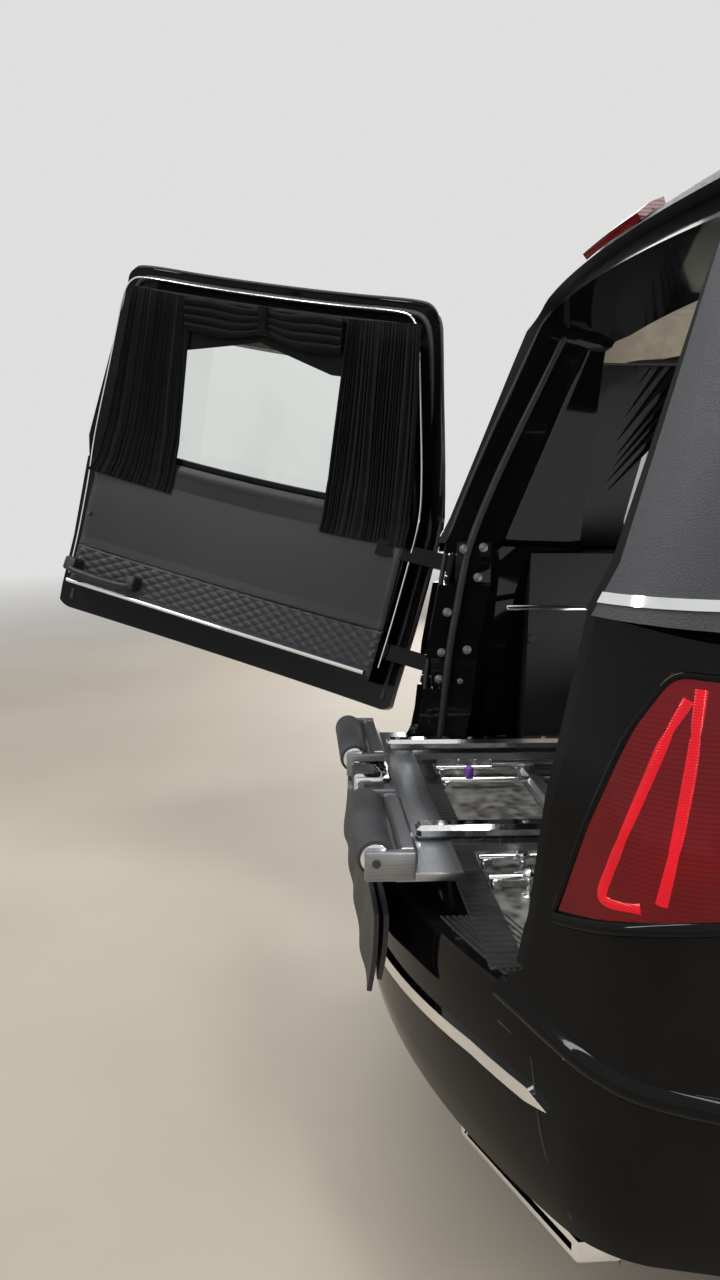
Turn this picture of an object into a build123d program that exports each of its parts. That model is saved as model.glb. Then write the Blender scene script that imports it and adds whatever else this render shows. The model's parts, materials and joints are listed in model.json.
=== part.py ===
"""A long-wheelbase hearse with a raised, vinyl-covered roof and its rear loading door standing open.

Millimetres. +Y is forward, +X is the car's right and +Z is up. The origin is on the ground, on the centre
plane, halfway between the axles.
"""
from build123d import *
from functools import cache
from math import asin, cos, pi, radians, sin, tan
import os

os.makedirs("parts", exist_ok=True)

# Wheels and stance
WHEELBASE = 3460.0
TRACK = 1590.0
TYRE_RADIUS = 346.0
TYRE_WIDTH = 236.0
RIM_RADIUS = 232.0
ARCH_RADIUS = 396.0
FRONT_AXLE = WHEELBASE / 2
REAR_AXLE = -WHEELBASE / 2

# Body: the belt rises towards the tail, so the body is lofted level and then tilted about the tail's belt
TAIL = -3454.0
BELT_Z = 1190.0
BELT_TILT = 1.67
SILL_Z = 235.0
SIDE_WALL = 70.0
ROOF_WALL = 45.0
FRONT_WALL = 26.0
TAIL_WALL = 92.0
SHUT_GAP = 8.0

# Lower body sections: height, half width, tail, nose (before the tilt)
LOWER_ROWS = (
    (150, 845, TAIL + 110, 2560),
    (330, 908, TAIL + 70, 2690),
    (440, 930, TAIL + 37, 2745),
    (620, 943, TAIL + 31, 2762),
    (760, 945, TAIL + 50, 2758),
    (930, 936, TAIL + 57, 2735),
    (1070, 914, TAIL + 74, 2690),
    (1150, 885, TAIL + 84, 2630),
    (BELT_Z, 858, TAIL + 88, 2590),
)
# Upper body sections: height, half width, tail, sweep of the tail in plan (before the tilt)
UPPER_ROWS = (
    (BELT_Z, 850, TAIL + 100, 1500),
    (1640, 722, TAIL + 325, 2400),
    (1710, 695, TAIL + 362, 3000),
    (1765, 655, TAIL + 405, 3600),
    (1805, 600, TAIL + 452, 4000),
    (1850, 490, TAIL + 560, 4000),
)
# Roof ridge along the car: place along Y, height (level)
ROOF_ROWS = ((700, 1400), (300, 1535), (-300, 1664), (-900, 1755), (-1600, 1815), (-2300, 1840),
             (-3300, 1818))
ROOF_CROWN = 5200.0
# Bonnet and wing line: place along Y, height (level)
HOOD_ROWS = ((900, 1058), (1500, 1040), (2050, 994), (2500, 914), (2900, 800))
HOOD_CROWN = 9000.0

TAIL_SWEEP = 1350.0
LOWER_CORNER = (225.0, 170.0)
UPPER_CORNER = (200.0, 190.0)
NOSE_SWEEP = 2300.0
NOSE_CORNER = (360.0, 300.0)
CORNER_TURN = 77.0
NOSE_TURN = 99.0

# Windscreen: foot and head on the centre line (Y, Z), and its sweep in plan
SCREEN_FOOT = (985.0, 1088.0)
SCREEN_HEAD = (235.0, 1550.0)
SCREEN_SWEEP = 2100.0
GLASS = 6.0

# Rear door, closed: half width at its foot, its waist and its top, their heights, and the corner radii
DOOR_LOW, DOOR_WAIST, DOOR_HIGH = 611.0, 628.0, 512.0
DOOR_BOTTOM, DOOR_WAIST_Z, DOOR_TOP = 691.0, 1245.0, 1750.0
DOOR_ROUND_LOW, DOOR_ROUND_TOP, DOOR_ROUND_LEAST = 45.0, 55.0, 40.0
SMALL_ROUND = 14.0
DOOR_HINGE = Vector(-695.0, TAIL + 267.0, 1000.0)
DOOR_HINGE_WAY = Vector(0, sin(radians(11.9)), cos(radians(11.9)))
DOOR_OPEN = 120.0
LIFT_LEAN = radians(11.9)
# Places along the car where the door's foot and top were measured, and where its outline is drawn
DOOR_FOOT_Y, DOOR_TOP_Y, DOOR_FACE_Y = TAIL + 180, TAIL + 430, TAIL + 290
SIDE_EASE = 4.0
HINGE_HEIGHTS = (850.0, 1120.0)

# Load deck
DECK_Z = 662.0
DECK_HALF = 575.0
ROLLER_RADIUS = 29.0
ROLLER_Z = 760.0


def keep(name, *shapes):
    """Writes one node, given as one or more solids."""
    solids = [solid for shape in shapes for solid in shape.solids()]
    node = solids[0] if len(solids) == 1 else Compound(children=solids)
    export_step(node, f"parts/{name}.step")


def box(x0, x1, y0, y1, z0, z1):
    """A block between two corners."""
    centre = Vector((x0 + x1) / 2, (y0 + y1) / 2, (z0 + z1) / 2)
    return Pos(centre) * Box(abs(x1 - x0), abs(y1 - y0), abs(z1 - z0))


def rod(start, end, radius):
    """A round bar from start to end."""
    way = Vector(*end) - Vector(*start)
    return Solid.make_cylinder(radius, way.length, Plane(origin=start, z_dir=way))


def plan_path(tail, half_width, nose, corner, sweep):
    """The right half of a plan outline: points (x, y, heading) from tail to nose, and each run's radius."""
    corner_width, corner_radius = corner
    points, radii = [(0.0, tail, 0.0)], []

    def bend(radius, heading):
        x, y, before = points[-1]
        points.append((x + radius * (sin(heading) - sin(before)),
                       y + radius * (cos(before) - cos(heading)), heading))
        radii.append(radius)

    side = radians(CORNER_TURN)
    bend(sweep, asin((half_width - corner_width) / sweep))
    bend(corner_radius, side)
    bend((half_width - points[-1][0]) / (1 - sin(side)), pi / 2)
    front, front_radii = [(0.0, nose, pi)], []

    def bend_back(radius, heading):
        x, y, after = front[-1]
        front.append((x - radius * (sin(after) - sin(heading)),
                      y - radius * (cos(heading) - cos(after)), heading))
        front_radii.append(radius)

    nose_side = radians(NOSE_TURN)
    bend_back(NOSE_SWEEP, pi - asin((half_width - NOSE_CORNER[0]) / NOSE_SWEEP))
    bend_back(NOSE_CORNER[1], nose_side)
    bend_back((half_width - front[-1][0]) / (1 - sin(nose_side)), pi / 2)
    return points + front[::-1], radii + [0.0] + front_radii[::-1]


def plan_face(path, inset, height):
    """The closed plan outline at a height, moved in by inset."""
    points, radii = path

    def moved(x, y, heading):
        return x - inset * sin(heading), y + inset * cos(heading)

    edges = []
    for start, end, radius in zip(points, points[1:], radii):
        middle = (start[2] + end[2]) / 2
        x = start[0] + radius * (sin(middle) - sin(start[2]))
        y = start[1] + radius * (cos(start[2]) - cos(middle))
        a, m, b = moved(*start), moved(x, y, middle), moved(*end)
        for side in (1, -1):
            first, last = (Vector(side * p[0], p[1], height) for p in (a, b))
            if radius:
                edges.append(ThreePointArc(first, Vector(side * m[0], m[1], height), last).edge())
            else:
                edges.append(Line(first, last).edge())
    return Face(Wire(edges))


def tilted(shape):
    """Leans the level loft so that its belt rises to the tail."""
    return shape.rotate(Axis((0, TAIL, BELT_Z), (1, 0, 0)), -BELT_TILT)


def ridge(rows, crown, drop, floor=-500.0):
    """The space under a crowned surface that follows rows of (Y, Z), lowered by drop."""
    reach = 1300.0
    sag = crown - (crown**2 - reach**2) ** 0.5
    faces = []
    for y, z in rows:
        left, top, right = (Vector(x, y, z - drop - s) for x, s in ((-reach, sag), (0, 0), (reach, sag)))
        low_left, low_right = Vector(-reach, y, floor), Vector(reach, y, floor)
        lines = (ThreePointArc(left, top, right), Line(right, low_right), Line(low_right, low_left),
                 Line(low_left, left))
        faces.append(Face(Wire([line.edge() for line in lines])))
    return loft(faces, ruled=True)


def lower_body(inset):
    """The body below the belt and under the bonnet line, moved in by inset."""
    faces = [plan_face(plan_path(tail, half, nose, LOWER_CORNER, TAIL_SWEEP), inset, z)
             for z, half, tail, nose in LOWER_ROWS]
    return tilted(loft(faces, ruled=True))


def screen_space(inset):
    """The space behind the windscreen's outer face, moved in by inset."""
    rise = Vector(0, SCREEN_HEAD[0] - SCREEN_FOOT[0], SCREEN_HEAD[1] - SCREEN_FOOT[1]).normalized()
    shift = inset / rise.Z
    low = SCREEN_FOOT[1] - 400
    y = SCREEN_FOOT[0] - rise.Y / rise.Z * 400 - shift
    half = 1000.0
    sag = SCREEN_SWEEP - (SCREEN_SWEEP**2 - half**2) ** 0.5
    left, front, right = Vector(-half, y - sag, low), Vector(0, y, low), Vector(half, y - sag, low)
    back_right, back_left = Vector(half, y - 6500, low), Vector(-half, y - 6500, low)
    lines = (ThreePointArc(left, front, right), Line(right, back_right), Line(back_right, back_left),
             Line(back_left, left))
    return Solid.extrude(Face(Wire([line.edge() for line in lines])), rise * 2400)


def upper_body(inset):
    """The cabin and roof above the belt, moved in by inset."""
    nose = 2000.0
    faces = [plan_face(plan_path(tail, half, nose, UPPER_CORNER, sweep), inset, z)
             for z, half, tail, sweep in UPPER_ROWS]
    cabin = tilted(loft(faces, ruled=True))
    return cabin & ridge(ROOF_ROWS, ROOF_CROWN, inset) & screen_space(inset)


def side_prism(points, radius=0.0, x0=-1200.0, x1=1200.0):
    """A side-view outline of (Y, Z) points carried across the car."""
    lines = [Line(Vector(x0, *a), Vector(x0, *b)).edge() for a, b in zip(points, points[1:] + points[:1])]
    face = Face(Wire(lines))
    if radius:
        face = face.fillet_2d(radius, face.vertices())
    return Solid.extrude(face, Vector(x1 - x0, 0, 0))


def belt_at(y):
    """The belt's height at a place along the car."""
    return BELT_Z - tan(radians(BELT_TILT)) * (y - TAIL)


def both(shape):
    """A right-hand piece and its mirror."""
    return [shape, shape.mirror(Plane.YZ)]


def rear_prism(corners, radius, start=TAIL - 150, length=900.0):
    """A rear-view outline of (X, Z) corners carried along the car."""
    points = [Vector(x, start, z) for x, z in corners]
    face = Face(Wire([Line(a, b).edge() for a, b in zip(points, points[1:] + points[:1])]))
    if radius:
        face = face.fillet_2d(radius, face.vertices())
    return Solid.extrude(face, Vector(0, length, 0))


def door_prism(grow):
    """The rear door's outline, grown by a margin and carried along the way in which the door lifts."""
    drop = tan(LIFT_LEAN)
    top_edge = DOOR_TOP + drop * (DOOR_TOP_Y - DOOR_FACE_Y)
    foot_edge = DOOR_BOTTOM - drop * (DOOR_FACE_Y - DOOR_FOOT_Y)
    foot, head = foot_edge - 400, top_edge + grow
    flare = (DOOR_WAIST - DOOR_LOW) / (DOOR_WAIST_Z - foot_edge)
    taper = (DOOR_WAIST - DOOR_HIGH) / (top_edge - DOOR_WAIST_Z)
    low, waist, high = DOOR_LOW + grow - flare * 400, DOOR_WAIST + grow, DOOR_HIGH + grow - taper * grow
    reach = 300.0
    lift = Vector(0, -reach, reach * drop)
    points = [Vector(x, DOOR_FACE_Y, z) + lift
              for x, z in ((-low, foot), (low, foot), (waist, DOOR_WAIST_Z), (high, head), (-high, head),
                           (-waist, DOOR_WAIST_Z))]
    face = Face(Wire([Line(a, b).edge() for a, b in zip(points, points[1:] + points[:1])]))
    top = [v for v in face.vertices() if v.Z > DOOR_TOP]
    face = face.fillet_2d(max(DOOR_ROUND_TOP + grow, DOOR_ROUND_LEAST), top)
    prism = Solid.extrude(face, lift * -4)
    half = DOOR_LOW + grow + SIDE_EASE
    bottom = rear_prism(((-half, DOOR_BOTTOM - grow), (half, DOOR_BOTTOM - grow), (half + 200, 2000),
                         (-half - 200, 2000)), max(DOOR_ROUND_LOW + grow, SMALL_ROUND))
    return prism & bottom


# Envelopes: the outer skins, and the same moved in by a wall
HOOD_EDGE = ((TAIL - 400, 1320), (HOOD_ROWS[0][0] - 12, 1320))


@cache
def low(inset):
    """The whole body below the belt and the bonnet line, moved in by inset."""
    return lower_body(inset) & ridge(HOOD_EDGE + HOOD_ROWS, HOOD_CROWN, inset)


@cache
def high(inset):
    """The cabin above the belt, moved in by inset."""
    return upper_body(inset)


@cache
def rear(inset):
    """The body's rear end as one form, below and above the belt."""
    return (lower_body(inset) & rear_end) + (high(inset) & rear_end)


def less(shape, cuts):
    """The shape without each of the cuts."""
    for cut in cuts:
        shape = shape - cut
    return shape


rear_end = box(-1200, 1200, TAIL - 200, TAIL + 620, 100, 2000)
low_wall = low(0) - low(ROOF_WALL)
high_wall = high(0) - high(ROOF_WALL)
front_wall = (low(0) & box(-1200, 1200, 880, 3000, 100, 1200)) - low(FRONT_WALL)

# Wheel arches
arches = [rod((side * 560, y, TYRE_RADIUS), (side * 1100, y, TYRE_RADIUS), ARCH_RADIUS)
          for side in (-1, 1) for y in (FRONT_AXLE, REAR_AXLE)]

# Side openings, seen from the side: front and rear edge, foot and head
FRONT_DOOR = (888.0, -330.0)
REAR_SIDE_DOOR = (-330.0 - SHUT_GAP, -1262.0)
DOOR_FOOT = 335.0
DOOR_HEAD = 1548.0
PILLAR_FOOT_Y = 742.0
PILLAR_HEAD_Y = -25.0
FRAME = 52.0
SIDE_WINDOW_RISE = 22.0
QUARTER_WINDOW = (-1345.0, -2690.0, 1618.0)
SEAT_FIT = 0.3
DOOR_GLASS_DEPTH = 14.0


def door_outline(front, back, slanted, grow=0.0):
    """A side door seen from the side; the front one leans back above the belt along the pillar."""
    foot, head = DOOR_FOOT - grow, DOOR_HEAD + grow
    front, back = front + grow, back - grow
    if not slanted:
        return ((front, foot), (front, head + 14), (back, head + 22), (back, foot))
    pillar_foot, pillar_head = PILLAR_FOOT_Y + grow, PILLAR_HEAD_Y + grow
    return ((front, foot), (front, belt_at(front)), (pillar_foot, belt_at(front) + 22),
            (pillar_head, head - 30), (pillar_head - 130, head), (back, head + 14), (back, foot))


def window_outline(front, back, slanted, grow=0.0):
    """A side door's window seen from the side."""
    sill = SIDE_WINDOW_RISE - grow
    head = DOOR_HEAD - FRAME + grow
    back = back + FRAME - grow
    if not slanted:
        front = front - FRAME + grow
        return ((front, belt_at(front) + sill), (front, head + 14),
                (back, head + 22), (back, belt_at(back) + sill))
    foot, top = PILLAR_FOOT_Y - 120 + grow, PILLAR_HEAD_Y - 45 + grow
    return ((foot, belt_at(foot) + sill), (top, head - 24), (top - 110, head), (back, head + 14),
            (back, belt_at(back) + sill))


quarter_front, quarter_rear, quarter_head = QUARTER_WINDOW
quarter_points = ((quarter_front, belt_at(quarter_front) + SIDE_WINDOW_RISE + 12),
                  (quarter_front, quarter_head - 20), (quarter_rear + 60, quarter_head),
                  (quarter_rear, belt_at(quarter_rear) + SIDE_WINDOW_RISE + 12))
quarter_hole = side_prism(quarter_points, 40.0)
side_doors = (("front_door", FRONT_DOOR, True), ("rear_side_door", REAR_SIDE_DOOR, False))

# Rear door, modelled closed and then swung open
DOOR_FIT = 12.0
REAR_WINDOW = (430.0, 360.0, 1240.0, 1600.0)
JAMB_WALL = 150.0
door_space = door_prism(0.0)
door_hole = door_prism(DOOR_FIT)


def trapezoid(low_x, high_x, foot, head):
    """A symmetric outline, wider at its foot."""
    return ((-low_x, foot), (low_x, foot), (high_x, head), (-high_x, head))


def swung(shape):
    """A piece of the rear door turned from closed to the open rest pose."""
    return shape.rotate(Axis(DOOR_HINGE, DOOR_HINGE_WAY), -DOOR_OPEN)


rear_window = rear_prism(trapezoid(*REAR_WINDOW), 60)
door_inside = TAIL_WALL
TRIM_THICK = 15.0
DRAPE_THICK = 24.0
FLANGE = 26.0
FRAME_STEP = 64.0
REBATE = 32.0
REVEAL = 44.0
flange = (rear(0) - rear(FLANGE)) & door_space
frame_room = (rear(FLANGE - 1) - rear(door_inside)) & door_prism(-FRAME_STEP)
# The hinged edge is rounded about the hinge: distance along the pin from its base, and the radius there
EASED_EDGE = ((-350.0, 81.0), (-110.0, 88.0), (0.0, 91.0), (170.0, 96.0), (240.0, 88.0), (300.0, 92.0),
              (400.0, 104.0), (664.0, 160.0), (850.0, 180.0))
eased = [Solid.make_cone(r0, r1, t1 - t0,
                         Plane(origin=DOOR_HINGE + DOOR_HINGE_WAY * t0, z_dir=DOOR_HINGE_WAY))
         for (t0, r0), (t1, r1) in zip(EASED_EDGE, EASED_EDGE[1:])]
rear_panel = less(flange + frame_room, [rear_window] + eased)
TRIM_INSET = 66.0
TRIM_TOP, HEADER_FOOT = 1205.0, 1658.0
DRAPE_FOOT, SWAG_FOOT = 1146.0, 1588.0
DRAPE_INNER = 262.0
trim_space = door_prism(-TRIM_INSET) & (box(-1200, 1200, TAIL - 200, TAIL + 700, 0, TRIM_TOP)
                                        + box(-1200, 1200, TAIL - 200, TAIL + 700, HEADER_FOOT, 2000))
trim = (rear(door_inside) - rear(door_inside + TRIM_THICK)) & trim_space
drape_front = door_inside + TRIM_THICK
side_drapes_room = (rear(drape_front) - rear(drape_front + DRAPE_THICK)) & door_prism(-TRIM_INSET - 2)
side_drape = box(DRAPE_INNER, 640, TAIL - 200, TAIL + 700, DRAPE_FOOT, HEADER_FOOT)
swag_room = rear(door_inside) - rear(drape_front + DRAPE_THICK)
swag = swag_room & box(-DRAPE_INNER + 1, DRAPE_INNER - 1, TAIL - 200, TAIL + 700, SWAG_FOOT, HEADER_FOOT)

# Hinges: a strap on the door reaches the pin that stands in a pocket of the body's corner
STRAP_HALF = 30.0
STRAP_END = -470.0
PIN_RADIUS = 7.0
EYE_RADIUS = 13.0
EAR_START, EAR_END, EAR_ROOT = 32.0, 52.0, 60.0
ARM_DEPTH, ARM_HEIGHT, POCKET_ROOM = 9.0, 22.0, 10.0


def hinge_point(z):
    """Where the hinge axis passes a height."""
    return DOOR_HINGE + DOOR_HINGE_WAY * ((z - DOOR_HINGE.Z) / DOOR_HINGE_WAY.Z)


straps, pockets, pins, strap_slots = [], [], [], []
for z in HINGE_HEIGHTS:
    base = hinge_point(z)
    reach = base + DOOR_HINGE_WAY * STRAP_HALF
    eye = rod(base - DOOR_HINGE_WAY * STRAP_HALF, reach, EYE_RADIUS)
    arm = box(base.X, STRAP_END, base.Y - ARM_DEPTH, base.Y + ARM_DEPTH, z - ARM_HEIGHT, z + ARM_HEIGHT)
    bore = rod(base - DOOR_HINGE_WAY * 90, base + DOOR_HINGE_WAY * 90, PIN_RADIUS + SEAT_FIT)
    straps.append(eye + arm - bore)
    pin = rod(base - DOOR_HINGE_WAY * EAR_END, base + DOOR_HINGE_WAY * EAR_END, PIN_RADIUS)
    for end in (-1, 1):
        near, far = base + DOOR_HINGE_WAY * (end * EAR_START), base + DOOR_HINGE_WAY * (end * EAR_END)
        ear = rod(near, far, EYE_RADIUS)
        root = box(base.X - EYE_RADIUS, base.X + EYE_RADIUS, base.Y, base.Y + EAR_ROOT,
                   z + end * (EAR_START + 1), z + end * EAR_END)
        pin = pin + ear + root
    pins.append(pin)
    pockets.append(box(base.X - 22, STRAP_END, base.Y - 160, base.Y + 24,
                       z - STRAP_HALF - POCKET_ROOM, z + STRAP_HALF + POCKET_ROOM))
    strap_slots.append(box(-DOOR_WAIST - 20, STRAP_END, base.Y - ARM_DEPTH, base.Y + ARM_DEPTH,
                           z - ARM_HEIGHT, z + ARM_HEIGHT))
keep("rear_door", swung(less(rear_panel, strap_slots)))
keep("rear_door_straps", *[swung(strap) for strap in straps])
keep("rear_door_trim", swung(less(trim, strap_slots)))
keep("rear_door_glass", swung((high(24) - high(24 + GLASS)) & rear_end & rear_window))
keep("rear_door_drapes", swung(swag), *[swung(side_drapes_room & piece) for piece in both(side_drape)])

# Fixed shell: roof with pillars, glass, quarter panels and the rear jamb
screen_hole = rear_prism(trapezoid(745, 610, 1070, 1522), 60, -150, 1400)
door_holes = [side_prism(door_outline(*edges, slanted, SHUT_GAP)) for name, edges, slanted in side_doors]
roof = less(high_wall, door_holes + [quarter_hole, door_hole & rear_end, screen_hole] + pockets)
keep("roof", roof - low(0))
keep("windscreen", ((screen_space(4) - screen_space(4 + GLASS)) & high(0) & screen_hole) - low(0))
pane = high(DOOR_GLASS_DEPTH) - high(DOOR_GLASS_DEPTH + GLASS)
keep("quarter_glass", *both(pane & quarter_hole & box(400, 1000, -3000, -1000, 900, 2000)))

LAMP_DEPTH = 26.0
# Tail lamps: which side, and where the inner edge meets the foot and the head
LAMP_EDGES = ((1, 655, 725), (-1, 728, 760))
LAMP_FOOT, LAMP_HEAD = (801, 885), (1128, 1118)
lamp_faces = [((side * foot, LAMP_FOOT[0]), (side * 1000, LAMP_FOOT[1]), (side * 1000, LAMP_HEAD[1]),
               (side * head, LAMP_HEAD[0])) for side, foot, head in LAMP_EDGES]
lamp_rooms = [rear_prism(corners, 0, TAIL - 200, 700) & low(0) for corners in lamp_faces]
keep("tail_lamps", *[room - low(LAMP_DEPTH) for room in lamp_rooms])

BUMPER_TOP = 655.0
QUARTER_INNER = 600.0
bumper_front = REAR_AXLE - ARCH_RADIUS - 4
bumper_space = box(-1200, 1200, TAIL - 100, bumper_front, 100, BUMPER_TOP)
quarter_space = box(-1200, 1200, TAIL - 100, REAR_SIDE_DOOR[1] - SHUT_GAP, SILL_Z, 1300) - bumper_space
lamp_beds = [room - low(LAMP_DEPTH) for room in lamp_rooms]
quarter = less(low_wall & quarter_space, arches + [door_hole] + lamp_beds + pockets)
quarter_rooms = both(box(QUARTER_INNER, 1200, TAIL - 200, 0, 0, 1300))
quarter = quarter & (quarter_rooms[0] + quarter_rooms[1])
keep("quarter_panels", sum(pins, quarter))

jamb_outer = door_prism(105.0) & box(-1200, 1200, TAIL - 200, TAIL + 900, BUMPER_TOP, 1775)
threshold = box(-1200, 1200, TAIL - 200, TAIL + 900, BUMPER_TOP, DECK_Z + 1)
jamb_hole = door_prism(-REVEAL)
jamb_side = (rear(ROOF_WALL) - rear(door_inside + 4)) & (jamb_outer - door_hole - threshold)
jamb_step = (rear(REBATE) - rear(door_inside + 4)) & (door_hole - jamb_hole)
jamb_lip = (rear(door_inside + 4) - rear(JAMB_WALL)) & (jamb_outer - jamb_hole)
opening = box(-DOOR_LOW + REVEAL, DOOR_LOW - REVEAL, TAIL - 200, TAIL + 900, DECK_Z, 900)
sill_room = box(SEAT_FIT - QUARTER_INNER, QUARTER_INNER - SEAT_FIT, TAIL - 200, TAIL + 900, 0, 1000)
sill = (rear(0) - rear(JAMB_WALL)) & threshold & sill_room
jamb = jamb_side + jamb_step + jamb_lip
keep("rear_jamb", less(jamb - threshold, [opening] + pockets + pins) + sill)

# Side doors with their window frames, the glass in them, and the hinges' pins on the pillars
door_wall = (low(0) - low(SIDE_WALL)) + high_wall
MIRROR_Y = 640.0
MIRROR_Z = 1150.0
DOOR_PIVOT = (938.0, 620.0)
SIDE_LEAN = 3.0
DOOR_HINGES = (450.0, 860.0)
PIVOT_BACK = 12.0
pivot_x, pivot_height = DOOR_PIVOT
lean_way = Vector(-sin(radians(SIDE_LEAN)), 0, cos(radians(SIDE_LEAN)))
PILLAR_WALL = 56.0
cabin_room = low(SIDE_WALL + 4) - low(SIDE_WALL + 4 + PILLAR_WALL)
cabin_room_high = high(ROOF_WALL + 4) - high(ROOF_WALL + PILLAR_WALL)
pillars = []
for front, back, high_part in ((889, 800, False), (-290, -400, True), (REAR_SIDE_DOOR[1] + 20, -1281, True)):
    pillar = cabin_room & box(801, 1200, back, front, 401, 1200)
    if high_part:
        pillar = (cabin_room & box(500, 1200, back, front, 401, 1200))
        pillar = pillar + (cabin_room_high & box(642, 1200, back, front, 900, 1600))
    pillars.append(pillar)
for name, edges, slanted in side_doors:
    hole = side_prism(window_outline(*edges, slanted), 24.0, 300, 1200)
    panel = door_wall & side_prism(door_outline(*edges, slanted), 0.0, 300, 1200)
    panel = panel - hole
    if slanted:
        housing = Pos(990, MIRROR_Y, MIRROR_Z) * Rot(0, 0, -8) * Box(150, 88, 112)
        housing = fillet(housing.edges(), 26)
        stalk = box(860, 935, MIRROR_Y - 24, MIRROR_Y + 24, MIRROR_Z - 82, MIRROR_Z - 50)
        panel = panel + stalk + housing
    y = edges[0] - PIVOT_BACK
    for z in DOOR_HINGES:
        base = Vector(pivot_x, y, pivot_height) + lean_way * (z - pivot_height)
        panel = panel - box(base.X - 110, base.X + 9, y - 9, y + 40, z - 24, z + 24)
        panel = panel - rod(base - lean_way * 50, base + lean_way * 50, PIN_RADIUS + SEAT_FIT)
        arm = box(base.X - 105, base.X, y - 7, y + 7, z - 14, z + 14)
        arm = arm + box(base.X - 125, base.X - 100, y - 40, y + 7, z - 14, z + 14)
        pin = rod(base - lean_way * 44, base + lean_way * 44, PIN_RADIUS)
        pillars[0 if slanted else 1] = pillars[0 if slanted else 1] + (arm + pin)
    for side, piece, glass in zip(("right", "left"), both(panel), both(pane & hole)):
        keep(f"{name}_{side}", piece)
        keep(f"{name}_glass_{side}", glass)
keep("door_pillars", *[piece for pillar in pillars for piece in both(pillar)])

# Front end: wings, bonnet, cowl, nose with grille and headlamps
NOSE_Y = 2340.0
NOSE_TOP = 795.0
HOOD_BACK = 1030.0
HOOD_HALF_BACK, HOOD_HALF_FRONT = 700.0, 610.0
HOOD_GAP = 6.0


def hood_plan(grow):
    """The bonnet seen from above, grown by a margin and carried through the height."""
    back, front = HOOD_BACK - grow, NOSE_Y + 600
    points = [Vector(x, y, NOSE_TOP + 5 - grow) for x, y in
              ((-HOOD_HALF_BACK - grow, back), (HOOD_HALF_BACK + grow, back), (HOOD_HALF_FRONT + grow, front),
               (-HOOD_HALF_FRONT - grow, front))]
    face = Face(Wire([Line(a, b).edge() for a, b in zip(points, points[1:] + points[:1])]))
    return Solid.extrude(face, Vector(0, 0, 600))


HOOD_PIVOT = (950.0, 1012.0)
COWL_DROP = 30.0
HINGE_X = 640.0
pivot_y, pivot_z = HOOD_PIVOT
lugs, brackets = [], []
for side in (-1, 1):
    eye = rod((side * HINGE_X - 10, pivot_y, pivot_z), (side * HINGE_X + 10, pivot_y, pivot_z), 15)
    inner, outer = side * HINGE_X - 10, side * HINGE_X + 10
    arm = box(inner, outer, pivot_y, HOOD_BACK + 70, pivot_z - 15, pivot_z + 4)
    riser = box(inner, outer, HOOD_BACK + 8, HOOD_BACK + 70, pivot_z - 15, pivot_z + 10)
    bore = rod((-800, pivot_y, pivot_z), (800, pivot_y, pivot_z), PIN_RADIUS + SEAT_FIT)
    lugs.append(eye + arm + riser - bore)
    pin = rod((side * (HINGE_X - 16), pivot_y, pivot_z), (side * (HINGE_X + 40), pivot_y, pivot_z),
              PIN_RADIUS)
    bracket = box(side * (HINGE_X + 16), side * (HINGE_X + 100), pivot_y - 15, pivot_y + 15,
                  pivot_z - 18, pivot_z + 8)
    brackets.append(pin + bracket)
keep("hood", sum(lugs, front_wall & hood_plan(0)))
hood_hole = hood_plan(HOOD_GAP)
FIREWALL = (897.0, 909.0)
COWL_STEP_Y = 985.0
cowl_room = box(-706, 706, 700, HOOD_BACK - 4, 900, 1300)
cowl_space = less(box(-706, 706, FIREWALL[0], HOOD_BACK - 6, 900, 1300),
                  both(box(600, 1200, 930, 1200, 900, 1300)))
cowl_step = (low(3) - low(COWL_DROP + FRONT_WALL)) & box(-598, 598, FIREWALL[0], COWL_STEP_Y, 900, 1300)
cowl = ((low(COWL_DROP) - low(COWL_DROP + FRONT_WALL)) & cowl_space) + cowl_step
keep("cowl", cowl)
nose_space = box(-1200, 1200, NOSE_Y, 3000, 200, NOSE_TOP)
wing_space = box(-1200, 1200, FRONT_DOOR[0] + SHUT_GAP, 3000, SILL_Z, 1300) - nose_space
wings = less(front_wall & wing_space, arches + [hood_hole, cowl_room]) + brackets[0] + brackets[1]
keep("wings", wings)
grille_region = rear_prism(trapezoid(330, 430, 452, 772), 22, 2400, 600)
grille_hole = rear_prism(trapezoid(306, 404, 474, 750), 14, 2400, 600)
lamp_front = rear_prism(((470, 662), (1000, 690), (1000, 789), (520, 782)), 0, 2300, 700)
headlamp = front_wall & lamp_front & nose_space
headlamp_holes = [lamp_front, lamp_front.mirror(Plane.YZ)]
keep("headlamps", *both(headlamp & box(0, 1200, 2300, 3000, 0, 1300)))
keep("front_bumper", less(front_wall & nose_space, arches + headlamp_holes + [grille_region]))
grille_wall = (front_wall - low(6)) & grille_region
BARS = 8
GRILLE_FOOT, GRILLE_HEAD = 474.0, 750.0
bar_heights = [GRILLE_FOOT + (i + 0.5) * (GRILLE_HEAD - GRILLE_FOOT) / BARS for i in range(BARS)]
bars = [box(-500, 500, 2400, 3000, z - 6, z + 6) for z in bar_heights]
frame = (front_wall & grille_region) - grille_hole
middle_bar = front_wall & box(-9, 9, 2400, 3000, 460, 760)
keep("grille", frame + (grille_wall & sum(bars[1:], bars[0])) + middle_bar)

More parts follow.
